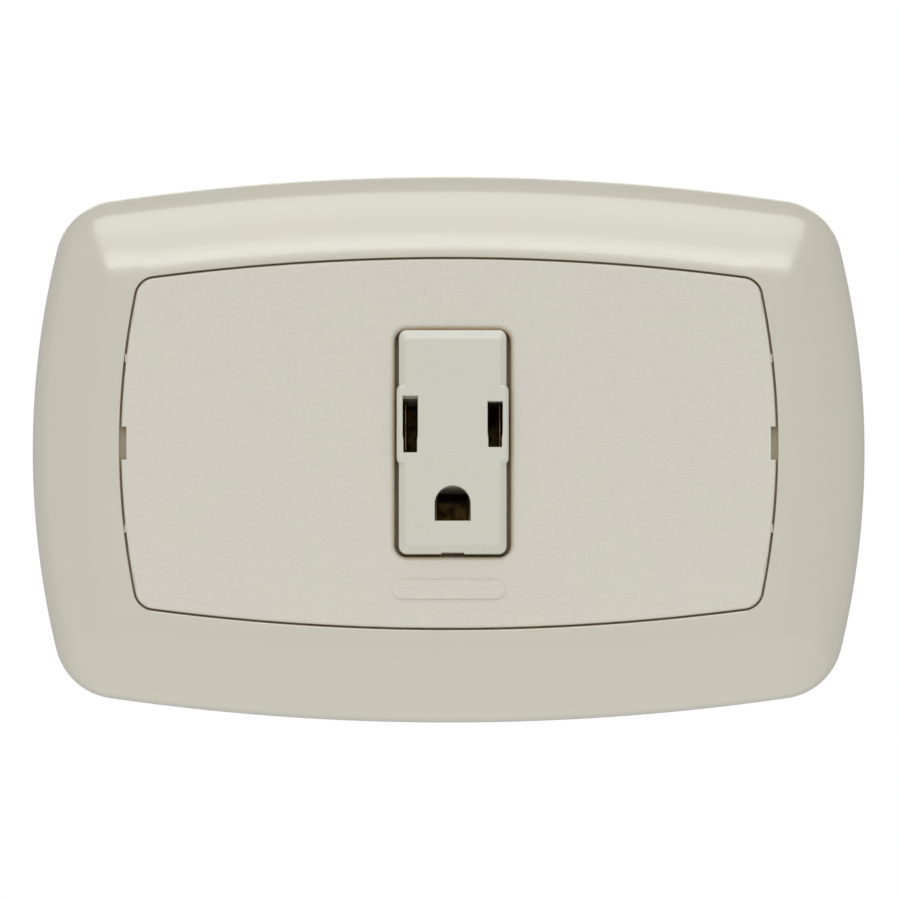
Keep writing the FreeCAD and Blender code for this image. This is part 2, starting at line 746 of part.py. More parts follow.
def make_module_front():
    body = new_body("module_front", cell("module_shift"))
    neck = front_sketch(body, cell("waist_top"))
    neck_corner = cell("module_corner_radius")
    add_rounded_rectangle(neck, ZERO, ZERO, cell("module_width"), cell("module_height"), neck_corner)
    raised = pad(body, neck, face_height - cell("waist_top"))
    fillet(body, raised, cell("module_bevel"), at_height(face_height))

    cheeks = front_sketch(body, cell("waist_top"))
    cheek_size = (cell("cheek_width"), cell("cheek_height"), cell("cheek_corner_radius"))
    add_rounded_rectangle(cheeks, ZERO, cell("blade_rise"), *cheek_size)
    pad(body, cheeks, face_height - cell("waist_top"))

    toe = front_sketch(body, face_height)
    toe_z = -(cell("module_height") / 2)
    add_rectangle(toe, ZERO, toe_z, cell("toe_notch_width"), cell("toe_notch_depth") * 2)
    pocket(body, toe, face_height - cell("waist_top"))

    waist = front_sketch(body, ZERO)
    waist_corner = cell("waist_corner_radius")
    add_rounded_rectangle(waist, ZERO, ZERO, cell("waist_width"), cell("waist_height"), waist_corner)
    pad(body, waist, cell("waist_top"))
    flange = front_sketch(body, -cell("flange_depth"))
    add_rounded_rectangle(flange, ZERO, ZERO, cell("flange_width"), cell("flange_height"), waist_corner)
    pad(body, flange, cell("flange_depth"))

    # Catches above and below, just in front of the strap's spring tongues.
    catch_back = cell("strap_thickness") + cell("tongue_height")
    for side in SIDES:
        catch = front_sketch(body, catch_back)
        add_rectangle(catch, ZERO, cell("waist_height") / 2 * side, cell("catch_width"), cell("catch_reach") * 2)
        pad(body, catch, cell("waist_top") - catch_back)

    for x, height in ((-blade_x, cell("neutral_slot_height")), (blade_x, cell("hot_slot_height"))):
        slot = front_sketch(body, face_height)
        add_polygon(slot, blade_slot(x, height))
        pocket(body, slot, cell("face_wall"))
    hole = front_sketch(body, face_height)
    add_ground_hole(hole)
    pocket(body, hole, cell("face_wall"))

    for x, z, width, height in chambers():
        room = front_sketch(body, -cell("flange_depth"))
        add_rectangle(room, x, z, width, height)
        pocket(body, room, chamber_top + cell("flange_depth"), along_normal=True)

    screw_reach = cell("housing_screw_length") - cell("base_depth") + cell("counterbore_depth")
    holes = front_sketch(body, -cell("flange_depth"))
    for side in SIDES:
        hole_radius = cell("housing_screw_radius") + cell("screw_clearance")
        add_circle(holes, cell("housing_screw_x") * side, -cell("housing_screw_drop"), hole_radius)
    pocket(body, holes, screw_reach + cell("flange_depth") + 0.5, along_normal=True)
    return body


def make_module_base():
    body = new_body("module_base", cell("module_shift"))
    block = front_sketch(body, -cell("base_depth"))
    base_corner = cell("base_corner_radius")
    add_rounded_rectangle(block, ZERO, ZERO, cell("base_width"), cell("base_height"), base_corner)
    pad(body, block, cell("base_depth") - cell("flange_depth"))

    # Rooms for the contacts, open towards the front housing.
    room_depth = cell("contact_depth") - cell("flange_depth")
    for x, z, width, height in chambers():
        room = front_sketch(body, -cell("flange_depth"))
        add_rectangle(room, x, z, width, height)
        pocket(body, room, room_depth)
    for (name, x, z, end), (tab_middle, tab_length) in zip(terminals(), tab_spans()):
        spare = cell("tab_clearance") * 2
        room = front_sketch(body, -cell("flange_depth"))
        add_rectangle(room, x, tab_middle, cell("tab_width") + spare, tab_length + spare)
        pocket(body, room, room_depth)
        well = front_sketch(body, -cell("base_depth"))
        add_rectangle(well, x, z, well_width, well_length)
        pocket(body, well, cell("base_depth") - cell("contact_depth"), along_normal=True)
        entry = new_sketch(body, "XY_Plane", z)
        entry_y = cell("contact_depth") + cell("wire_gap") / 2
        add_rectangle(entry, x, entry_y, cell("wire_entry_width"), cell("wire_gap") - 0.1)
        pocket(body, entry, cell("base_height") / 2, along_normal=end > 0)

    for side in SIDES:
        place = (cell("housing_screw_x") * side, -cell("housing_screw_drop"))
        bore = front_sketch(body, -cell("flange_depth"))
        add_circle(bore, *place, cell("housing_screw_radius") + cell("screw_clearance"))
        pocket(body, bore, cell("base_depth") - cell("flange_depth"))
        recess = front_sketch(body, -cell("base_depth"))
        add_circle(recess, *place, cell("counterbore_radius"))
        pocket(body, recess, cell("counterbore_depth"), along_normal=True)
    return body


def tab_spans():
    """Middle z and length of each contact's tab, from the contact's end past its terminal."""
    spans = []
    for (name, x, z, end), leaf_width, contact_z in zip(
            terminals(),
            (cell("blade_leaf_width"), cell("blade_leaf_width"), cell("ground_leaf_width")),
            (cell("blade_rise"), cell("blade_rise"), ground_z)):
        near = contact_z + (leaf_width / 2 - cell("brass_thickness") * 2) * end
        far = z + cell("tab_half_length") * end
        spans.append(((near + far) / 2, (far - near) * end))
    return spans


def make_contact(name, x, z, gaps, leaf_width, terminal, span):
    """A brass strip bent to a pair of spring leaves, with a tab that leads to the terminal."""
    body = new_body(f"{name}_contact", cell("module_shift"))
    mouth, pinch, root = (gap / 2 for gap in gaps)
    wall = cell("brass_thickness")
    top, waist = -cell("leaf_top"), -cell("pinch_height")
    web_front = cell("contact_depth") - wall
    lip = wall / 3
    right = [
        (x + root, web_front), (x + pinch, waist), (x + mouth, top),
        (x + mouth + lip, top), (x + pinch + wall, waist), (x + root + wall, cell("contact_depth")),
    ]
    left = [
        (x - root - wall, cell("contact_depth")), (x - pinch - wall, waist), (x - mouth - lip, top),
        (x - mouth, top), (x - pinch, waist), (x - root, web_front),
    ]
    profile = new_sketch(body, "XY_Plane", z)
    add_polygon(profile, right + left)
    pad(body, profile, leaf_width, both_ways=True)

    terminal_x, terminal_z = terminal
    tab = front_sketch(body, -cell("contact_depth"))
    add_rectangle(tab, terminal_x, span[0], cell("tab_width"), span[1])
    pad(body, tab, wall)
    boss = front_sketch(body, wall - cell("contact_depth"))
    add_circle(boss, terminal_x, terminal_z, cell("boss_radius"))
    pad(body, boss, cell("boss_height"))
    thread = front_sketch(body, wall + cell("boss_height") - cell("contact_depth"))
    add_circle(thread, terminal_x, terminal_z, cell("terminal_screw_radius") + cell("screw_clearance"))
    pocket(body, thread, wall + cell("boss_height"))
    return body


def make_contacts():
    blade_gaps = (cell("blade_mouth_gap"), cell("blade_pinch_gap"), cell("blade_root_gap"))
    ground_gaps = (cell("ground_mouth_gap"), cell("ground_pinch_gap"), cell("ground_root_gap"))
    middle = blade_x - cell("blade_bias")
    places = [
        (-middle, cell("blade_rise"), blade_gaps, cell("blade_leaf_width")),
        (middle, cell("blade_rise"), blade_gaps, cell("blade_leaf_width")),
        (ZERO, ground_z, ground_gaps, cell("ground_leaf_width")),
    ]
    made = []
    for (name, x, z, end), place, span in zip(terminals(), places, tab_spans()):
        made.append(make_contact(name, *place, (x, z), span))
    return made


def make_wire_clamp(name, x, z):
    """A square plate that the terminal screw draws against the wire."""
    body = new_body(f"{name}_wire_clamp", cell("module_shift") + x)
    bind(body, "Placement.Base.z", z)
    plate = front_sketch(body, -(clamp_depth + cell("clamp_thickness")))
    add_rectangle(plate, ZERO, ZERO, cell("clamp_width"), cell("clamp_length"))
    add_circle(plate, ZERO, ZERO, cell("terminal_screw_radius") + cell("screw_clearance"))
    pad(body, plate, cell("clamp_thickness"))

    # Grooves that bite into the wire.
    grooves = front_sketch(body, -clamp_depth)
    for side in SIDES:
        groove_z = cell("clamp_length") * 0.4 * side
        add_rectangle(grooves, ZERO, groove_z, cell("clamp_width") * 0.8, cell("clamp_groove") * 2)
    pocket(body, grooves, cell("clamp_groove"))
    return body


def make_terminal_parts():
    made = []
    facing_back = Placement(Vector(), Rotation(Vector(0, 0, 1), 180))
    for name, x, z, end in terminals():
        place = (facing_back, (cell("module_shift") + x, terminal_head_depth, z))
        made.append(make_screw(
            f"{name}_terminal_screw", cell("terminal_screw_radius"), cell("terminal_screw_length"),
            cell("terminal_head_radius"), cell("terminal_head_height"), place))
        made.append(make_wire_clamp(name, x, z))
    seat = cell("base_depth") - cell("counterbore_depth")
    for name, side in (("left", -1), ("right", 1)):
        place_x = cell("module_shift") + cell("housing_screw_x") * side
        place = (facing_back, (place_x, seat, -cell("housing_screw_drop")))
        made.append(make_screw(
            f"housing_screw_{name}", cell("housing_screw_radius"), cell("housing_screw_length"),
            cell("housing_head_radius"), cell("housing_head_height"), place))
    return made


# ---- Build, check and write ----

def check(pieces):
    doc.recompute()
    for item in doc.Objects:
        bad = [state for state in item.State if state in ("Invalid", "Error")]
        if bad:
            raise RuntimeError(f"{item.Name} is {bad[0]}")
    for piece in pieces:
        if piece.Shape.isNull() or not piece.Shape.isValid():
            raise RuntimeError(f"{piece.Label} has no valid shape")


pieces = [make_outer_frame(), make_insert_plate(), make_support_frame()]
pieces += make_fixing_parts()
pieces += [make_module_front(), make_module_base()]
pieces += make_contacts()
pieces += make_terminal_parts()
check(pieces)

os.makedirs("parts", exist_ok=True)
for piece in pieces:
    piece.Shape.exportStep(f"parts/{piece.Label}.step")
    print(f"{piece.Label}: {len(piece.Shape.Solids)} solid, {piece.Shape.Volume:.1f} mm3")
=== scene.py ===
import json
import math

import bmesh
import bpy
from mathutils import Matrix, Vector

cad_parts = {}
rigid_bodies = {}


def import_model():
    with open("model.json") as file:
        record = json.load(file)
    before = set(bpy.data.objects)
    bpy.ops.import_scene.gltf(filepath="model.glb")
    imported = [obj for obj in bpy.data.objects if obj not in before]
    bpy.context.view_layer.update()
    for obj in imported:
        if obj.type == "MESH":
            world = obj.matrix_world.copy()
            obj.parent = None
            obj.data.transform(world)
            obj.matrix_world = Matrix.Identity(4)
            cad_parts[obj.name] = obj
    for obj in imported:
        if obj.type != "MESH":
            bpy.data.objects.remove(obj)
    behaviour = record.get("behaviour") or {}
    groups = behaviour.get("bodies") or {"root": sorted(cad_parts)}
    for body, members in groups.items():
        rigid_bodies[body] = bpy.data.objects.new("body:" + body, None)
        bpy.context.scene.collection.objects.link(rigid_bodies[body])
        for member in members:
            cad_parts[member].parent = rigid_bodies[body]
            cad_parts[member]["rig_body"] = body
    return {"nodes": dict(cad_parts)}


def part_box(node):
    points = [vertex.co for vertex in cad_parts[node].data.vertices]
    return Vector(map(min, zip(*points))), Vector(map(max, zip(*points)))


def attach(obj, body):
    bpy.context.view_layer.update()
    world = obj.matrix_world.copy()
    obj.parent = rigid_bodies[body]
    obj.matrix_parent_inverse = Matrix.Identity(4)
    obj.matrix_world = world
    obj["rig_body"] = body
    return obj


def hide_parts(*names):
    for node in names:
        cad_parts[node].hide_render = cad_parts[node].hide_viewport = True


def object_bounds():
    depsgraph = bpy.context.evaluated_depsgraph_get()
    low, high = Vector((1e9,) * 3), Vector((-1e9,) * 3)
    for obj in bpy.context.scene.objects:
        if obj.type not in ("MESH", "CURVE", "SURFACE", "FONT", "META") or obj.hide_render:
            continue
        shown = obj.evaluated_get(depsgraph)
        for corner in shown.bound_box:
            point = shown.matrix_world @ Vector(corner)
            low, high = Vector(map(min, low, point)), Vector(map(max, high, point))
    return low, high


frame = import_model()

# A wall outlet with a grounded socket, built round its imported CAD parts.
# X is right, Z is up, the wall is the plane Y = 0 and the front looks along -Y.
# Lengths are in metres; mm turns millimetres into them.

mm = 0.001
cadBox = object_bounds()
nodes = frame["nodes"]
scene = bpy.context.scene


# Camera: a long lens, a little below the plate's middle.

cameraView = {
    "distance": 1.6,
    "elevation": math.radians(-5.8),
    "frameWidth": 135.4 * mm,
    "target": Vector((0.2 * mm, 0, -0.12 * mm)),
    "sensor": 36,
    "nearest": 0.01,
}


def makeCamera():
    view = cameraView
    data = bpy.data.cameras.new("camera")
    data.sensor_width = view["sensor"]
    data.lens = data.sensor_width * view["distance"] / view["frameWidth"]
    data.clip_start = view["nearest"]
    camera = bpy.data.objects.new("camera", data)
    scene.collection.objects.link(camera)
    towards = Vector((0, math.cos(view["elevation"]), -math.sin(view["elevation"])))
    camera.location = view["target"] - towards * view["distance"]
    camera.rotation_euler = towards.to_track_quat("-Z", "Y").to_euler()
    scene.camera = camera


# Studio: a white surround, a pale floor, an overhead softbox in strips and wide fills.

studio = {
    "floorDrop": 0.62,
    "floorSize": 9.0,
    "floorColour": (0.84, 0.84, 0.83),
    "floorGlow": 0.34,
    "floorRoughness": 0.9,
    "surroundSeen": 1.0,
    "surroundLight": 0.46,
    "softboxes": [
        # name, distance, elevation and azimuth in degrees, width, height, brightness, what it lights
        ("topStripLow", 1.5, 22.0, 0, 1.5, 0.13, 5.0, "glossy"),
        ("topStripMiddle", 1.5, 27.2, 0, 1.6, 0.14, 3.6, "glossy"),
        ("topStripHigh", 1.5, 36.0, 0, 1.8, 0.31, 2.2, "glossy"),
        ("topStripOver", 1.5, 58.0, 0, 2.0, 0.85, 2.7, "glossy"),
        ("overhead", 1.4, 62, 0, 1.8, 1.2, 0.86, "diffuse"),
        ("frontFill", 1.9, 4, 0, 1.5, 1.0, 1.12, "diffuse"),
        ("leftFill", 1.4, 8, -68, 0.8, 1.2, 0.24, "both"),
        ("rightFill", 1.4, 8, 62, 0.8, 1.2, 0.06, "both"),
        ("tableBounce", 0.21, -72, 0, 0.9, 0.5, 0.36, "both"),
        ("backFill", 1.4, 35, 180, 1.4, 1.0, 1.4, "both"),
    ],
}


def makeStudio():
    scene.view_settings.view_transform = "Standard"
    world = bpy.data.worlds.new("surround")
    scene.world = world
    world.use_nodes = True
    tree = world.node_tree
    tree.nodes.clear()
    out = tree.nodes.new("ShaderNodeOutputWorld")
    mix = tree.nodes.new("ShaderNodeMixShader")
    path = tree.nodes.new("ShaderNodeLightPath")
    lit = tree.nodes.new("ShaderNodeBackground")
    seen = tree.nodes.new("ShaderNodeBackground")
    lit.inputs["Strength"].default_value = studio["surroundLight"]
    seen.inputs["Strength"].default_value = studio["surroundSeen"]
    lit.inputs["Color"].default_value = (1, 1, 1, 1)
    seen.inputs["Color"].default_value = (1, 1, 1, 1)
    tree.links.new(path.outputs["Is Camera Ray"], mix.inputs[0])
    tree.links.new(lit.outputs[0], mix.inputs[1])
    tree.links.new(seen.outputs[0], mix.inputs[2])
    tree.links.new(mix.outputs[0], out.inputs[0])

    for name, distance, elevation, azimuth, width, height, brightness, lights in studio["softboxes"]:
        light = bpy.data.lights.new(name, "AREA")
        light.shape = "RECTANGLE"
        light.size, light.size_y = width, height
        light.energy = brightness * math.pi * width * height
        obj = bpy.data.objects.new(name, light)
        obj.visible_camera = False
        obj.visible_diffuse = lights != "glossy"
        obj.visible_glossy = lights != "diffuse"
        scene.collection.objects.link(obj)
        up, turn = math.radians(elevation), math.radians(azimuth)
        away = Vector((math.sin(turn) * math.cos(up), -math.cos(turn) * math.cos(up), math.sin(up)))
        obj.location = away * distance
        obj.rotation_euler = (-away).to_track_quat("-Z", "Y").to_euler()

    half = studio["floorSize"] / 2
    level = cadBox[0][2] - studio["floorDrop"]
    corners = [(-half, -half, level), (half, -half, level), (half, half, level), (-half, half, level)]
    mesh = bpy.data.meshes.new("floor")
    mesh.from_pydata(corners, [], [(0, 1, 2, 3)])
    floor = bpy.data.objects.new("floor", mesh)
    scene.collection.objects.link(floor)
    paint = bpy.data.materials.new("floorPaint")
    paint.use_nodes = True
    shader = paint.node_tree.nodes["Principled BSDF"]
    shader.inputs["Base Color"].default_value = (*studio["floorColour"], 1)
    shader.inputs["Roughness"].default_value = studio["floorRoughness"]
    shader.inputs["Emission Color"].default_value = (1, 1, 1, 1)
    shader.inputs["Emission Strength"].default_value = studio["floorGlow"]
    mesh.materials.append(paint)
    # The floor is pale in the picture and leaves the lighting to the softboxes.
    floor.visible_diffuse = floor.visible_glossy = False


# Shader groups, each built once and shared by several materials.

def newGroup(name, inputs, outputs):
    # The group, with its input node and its output node.
    group = bpy.data.node_groups.new(name, "ShaderNodeTree")
    for title, kind, value in inputs:
        socket = group.interface.new_socket(title, in_out="INPUT", socket_type=kind)
        socket.default_value = value
    for title, kind in outputs:
        group.interface.new_socket(title, in_out="OUTPUT", socket_type=kind)
    return group, group.nodes.new("NodeGroupInput"), group.nodes.new("NodeGroupOutput")


def addNode(tree, kind, settings=None, **links):
    # Adds a node, sets its properties, and fills inputs with values or with other sockets.
    node = tree.nodes.new(kind)
    for name, value in (settings or {}).items():
        setattr(node, name, value)
    for name, value in links.items():
        key = int(name[1:]) if name[0] == "i" and name[1:].isdigit() else name.replace("_", " ")
        socket = node.inputs[key]
        if isinstance(value, bpy.types.NodeSocket):
            tree.links.new(value, socket)
        else:
            socket.default_value = value
    return node


def maths(tree, operation, first, second=0.0, third=0.0):
    node = addNode(tree, "ShaderNodeMath", {"operation": operation}, i0=first, i1=second, i2=third)
    return node.outputs[0]


def blendColours(tree, factor, first, second, mode="MIX"):
    node = tree.nodes.new("ShaderNodeMix")
    node.data_type = "RGBA"
    node.blend_type = mode
    for socket, value in ((node.inputs[0], factor), (node.inputs[6], first), (node.inputs[7], second)):
        if isinstance(value, bpy.types.NodeSocket):
            tree.links.new(value, socket)
        else:
            socket.default_value = value
    return node.outputs[2]


def ramp(tree, value, low, high):
    smooth = {"interpolation_type": "SMOOTHSTEP"}
    return addNode(tree, "ShaderNodeMapRange", smooth, i0=value, i1=low, i2=high).outputs[0]


def millimetres(tree, stretch=(1, 1, 1)):
    # The point's place on its own piece, in millimetres, stretched along the axes.
    place = addNode(tree, "ShaderNodeTexCoord").outputs["Object"]
    scale = tuple(each / mm for each in stretch)
    return addNode(tree, "ShaderNodeVectorMath", {"operation": "MULTIPLY"}, i0=place, i1=scale).outputs[0]


def noise(tree, place, scale, detail=2.0, roughness=0.5):
    return addNode(tree, "ShaderNodeTexNoise", None, Vector=place, Scale=scale, Detail=detail,
                   Roughness=roughness).outputs[0]


edgeWear = {"samples": 8, "from": 0.10, "to": 0.55, "plasticReach": 0.35, "metalReach": 0.18}


def edgeNearness(tree, reach):
    # 1 on a raised edge, falling to 0 at the reach in millimetres: from inside, the solid is thin there.
    probe = {"samples": edgeWear["samples"], "inside": True}
    inner = addNode(tree, "ShaderNodeAmbientOcclusion", probe, Distance=reach * mm)
    closed = maths(tree, "SUBTRACT", 1.0, inner.outputs["AO"])
    return ramp(tree, closed, edgeWear["from"], edgeWear["to"])


# Scales are in cycles a millimetre, and ranges are (low, high).
mouldedPattern = {
    "cloudScale": 0.075, "cloudRange": (0.42, 0.68), "pitShare": 0.4, "grainMiddle": 0.68,
    "cornerReach": 1.6, "cornerRange": (0.14, 0.85), "patchScale": 0.9, "patchRange": (0.2, 0.7),
    "patchShare": 0.25, "rubbedColour": (0.93, 0.91, 0.86, 1), "rubbedPaleness": 0.35,
    "rubbedPolish": 0.12, "smearScale": 0.22, "smear": 0.06, "dustAndShadeRoughness": 0.3,
}
metalPattern = {
    "drawnStretch": (0.12, 2.2, 2.2), "drawnScale": 3.2, "crystalScale": 0.33, "filmScale": 0.55,
    "filmRange": (0.38, 0.72), "wornColour": (0.82, 0.81, 0.78, 1), "scratchRoughness": 0.5,
    "tarnishAndShadeRoughness": 0.35, "facetRoughness": 0.3, "filmHeight": 0.3,
}


def makeMouldedGroup():
    # Moulded plastic: cloudy tint, spark-eroded grain, rubbed edges, and dust and painted shade in the
    # corners.
    group, ends, out = newGroup("mouldedPlastic", [
        ("Colour", "NodeSocketColor", (0.8, 0.8, 0.8, 1)),
        ("Tint", "NodeSocketColor", (0.8, 0.7, 0.7, 1)),
        ("Cloudiness", "NodeSocketFloat", 0.2),
        ("Dust And Shade", "NodeSocketColor", (0.3, 0.2, 0.1, 1)),
        ("Dust And Shade Amount", "NodeSocketFloat", 0.4),
        ("Grain Scale", "NodeSocketFloat", 5.0),
        ("Grain Contrast", "NodeSocketFloat", 0.02),
        ("Roughness", "NodeSocketFloat", 0.4),
        ("Rub", "NodeSocketFloat", 0.3),
    ], [("Colour", "NodeSocketColor"), ("Roughness", "NodeSocketFloat"), ("Height", "NodeSocketFloat")])
    get, spec = ends.outputs, mouldedPattern
    place = millimetres(group)
    clouds = noise(group, place, spec["cloudScale"], 3.0, 0.55)
    cloud = maths(group, "MULTIPLY", ramp(group, clouds, *spec["cloudRange"]), get["Cloudiness"])
    tinted = blendColours(group, cloud, get["Colour"], get["Tint"])

    fine = noise(group, place, get["Grain Scale"], 3.0, 0.65)
    pits = addNode(group, "ShaderNodeTexVoronoi", {"feature": "F1"}, Vector=place, Scale=get["Grain Scale"])
    grain = maths(group, "ADD", fine, maths(group, "MULTIPLY", pits.outputs["Distance"], spec["pitShare"]))
    speck = maths(group, "SUBTRACT", grain, spec["grainMiddle"])
    speck = maths(group, "MULTIPLY", speck, get["Grain Contrast"])
    speckled = addNode(group, "ShaderNodeHueSaturation", None, Color=tinted,
                       Value=maths(group, "ADD", 1.0, speck))

    # Corners and gaps take the dust colour, which is warm painted shade on the ivory parts and pale dust on
    # the dark base; raised edges are rubbed smoother and a little paler.
    hollow = addNode(group, "ShaderNodeAmbientOcclusion", {"samples": edgeWear["samples"]},
                     Distance=spec["cornerReach"] * mm)
    closed = maths(group, "SUBTRACT", 1.0, hollow.outputs["AO"])
    patch = ramp(group, noise(group, place, spec["patchScale"], 4.0), *spec["patchRange"])
    patch = maths(group, "MULTIPLY", patch, spec["patchShare"])
    dustAndShade = maths(group, "MULTIPLY", ramp(group, closed, *spec["cornerRange"]), get["Dust And Shade Amount"])
    patchyDustAndShade = maths(group, "MULTIPLY", dustAndShade, maths(group, "ADD", 1 - spec["patchShare"], patch))
    dustedAndShaded = blendColours(group, patchyDustAndShade, speckled.outputs[0], get["Dust And Shade"])
    rubbed = maths(group, "MULTIPLY", edgeNearness(group, edgeWear["plasticReach"]), get["Rub"])
    paleness = maths(group, "MULTIPLY", rubbed, spec["rubbedPaleness"])
    pale = blendColours(group, paleness, dustedAndShaded, spec["rubbedColour"])

    smear = maths(group, "SUBTRACT", noise(group, place, spec["smearScale"], 4.0), 0.5)
    rough = maths(group, "ADD", get["Roughness"], maths(group, "MULTIPLY", smear, spec["smear"]))
    rough = maths(group, "SUBTRACT", rough, maths(group, "MULTIPLY", rubbed, spec["rubbedPolish"]))
    rough = maths(group, "ADD", rough, maths(group, "MULTIPLY", patchyDustAndShade, spec["dustAndShadeRoughness"]))
    group.links.new(pale, out.inputs["Colour"])
    group.links.new(rough, out.inputs["Roughness"])
    group.links.new(grain, out.inputs["Height"])
    return group


def makeMetalGroup():
    # Plated or rolled metal: drawn scratches, crystal spangle, tarnish and bright worn edges. On the
    # contacts the tarnish colour is so dark that it is also painted shade.
    group, ends, out = newGroup("workedMetal", [
        ("Colour", "NodeSocketColor", (0.6, 0.6, 0.6, 1)),
        ("Tarnish And Shade", "NodeSocketColor", (0.2, 0.15, 0.1, 1)),
        ("Tarnish And Shade Amount", "NodeSocketFloat", 0.3),
        ("Spangle", "NodeSocketFloat", 0.0),
        ("Roughness", "NodeSocketFloat", 0.3),
        ("Scratches", "NodeSocketFloat", 0.4),
        ("Wear", "NodeSocketFloat", 0.4),
    ], [("Colour", "NodeSocketColor"), ("Roughness", "NodeSocketFloat"), ("Height", "NodeSocketFloat")])
    get, spec = ends.outputs, metalPattern
    place = millimetres(group)
    drawn = millimetres(group, spec["drawnStretch"])
    lines = noise(group, drawn, spec["drawnScale"], 4.0, 0.7)
    crystals = addNode(group, "ShaderNodeTexVoronoi", {"feature": "F1"}, Vector=place,
                       Scale=spec["crystalScale"])
    shade = addNode(group, "ShaderNodeSeparateColor", None, Color=crystals.outputs["Color"]).outputs[0]
    facet = maths(group, "MULTIPLY", maths(group, "SUBTRACT", shade, 0.5), get["Spangle"])
    spangled = addNode(group, "ShaderNodeHueSaturation", None, Value=maths(group, "ADD", 1.0, facet),
                       Color=get["Colour"])
    film = ramp(group, noise(group, place, spec["filmScale"], 5.0, 0.6), *spec["filmRange"])
    tarnishAndShade = maths(group, "MULTIPLY", film, get["Tarnish And Shade Amount"])
    tarnishedAndShaded = blendColours(group, tarnishAndShade, spangled.outputs[0], get["Tarnish And Shade"])
    worn = maths(group, "MULTIPLY", edgeNearness(group, edgeWear["metalReach"]), get["Wear"])
    bright = blendColours(group, worn, tarnishedAndShaded, spec["wornColour"])
    streak = maths(group, "MULTIPLY", maths(group, "SUBTRACT", lines, 0.5), get["Scratches"])
    crystal = maths(group, "ABSOLUTE", facet)
    rough = maths(group, "ADD", get["Roughness"], maths(group, "MULTIPLY", streak, spec["scratchRoughness"]))
    rough = maths(group, "ADD", rough, maths(group, "MULTIPLY", tarnishAndShade, spec["tarnishAndShadeRoughness"]))
    rough = maths(group, "ADD", rough, maths(group, "MULTIPLY", crystal, spec["facetRoughness"]))
    drawnHeight = maths(group, "MULTIPLY", lines, get["Scratches"])
    height = maths(group, "ADD", drawnHeight, maths(group, "MULTIPLY", film, spec["filmHeight"]))
    group.links.new(bright, out.inputs["Colour"])
    group.links.new(rough, out.inputs["Roughness"])
    group.links.new(height, out.inputs["Height"])
    return group


mouldedGroup = makeMouldedGroup()
metalGroup = makeMetalGroup()

# On the ivory parts the dust colour is warm painted shade in gaps and corners; on the dark base it is pale
# dust.
plasticSheets = {
    "frameGloss": {
        "Colour": (0.700, 0.675, 0.565, 1), "Tint": (0.715, 0.668, 0.562, 1), "Cloudiness": 0.25,
        "Dust And Shade": (0.55, 0.43, 0.25, 1), "Dust And Shade Amount": 0.8, "Grain Scale": 1.6, "Grain Contrast": 0.006,
        "Roughness": 0.17, "Rub": 0.25, "bump": 0.010, "coat": 0.35,
    },
    "insertMatte": {
        "Colour": (0.745, 0.712, 0.618, 1), "Tint": (0.765, 0.700, 0.668, 1), "Cloudiness": 0.36,
        "Dust And Shade": (0.60, 0.46, 0.29, 1), "Dust And Shade Amount": 0.85, "Grain Scale": 4.5, "Grain Contrast": 0.09,
        "Roughness": 0.46, "Rub": 0.35, "bump": 0.08, "coat": 0.0,
    },
    "moduleSatin": {
        "Colour": (0.712, 0.700, 0.600, 1), "Tint": (0.716, 0.684, 0.594, 1), "Cloudiness": 0.25,
        "Dust And Shade": (0.54, 0.42, 0.24, 1), "Dust And Shade Amount": 0.75, "Grain Scale": 6.0, "Grain Contrast": 0.025,
        "Roughness": 0.28, "Rub": 0.5, "bump": 0.022, "coat": 0.15,
    },
    "basePlastic": {
        "Colour": (0.028, 0.028, 0.031, 1), "Tint": (0.045, 0.04, 0.036, 1), "Cloudiness": 0.6,
        "Dust And Shade": (0.17, 0.15, 0.12, 1), "Dust And Shade Amount": 0.30, "Grain Scale": 3.2, "Grain Contrast": 0.25,
        "Roughness": 0.42, "Rub": 0.12, "bump": 0.06, "coat": 0.0,
    },
}

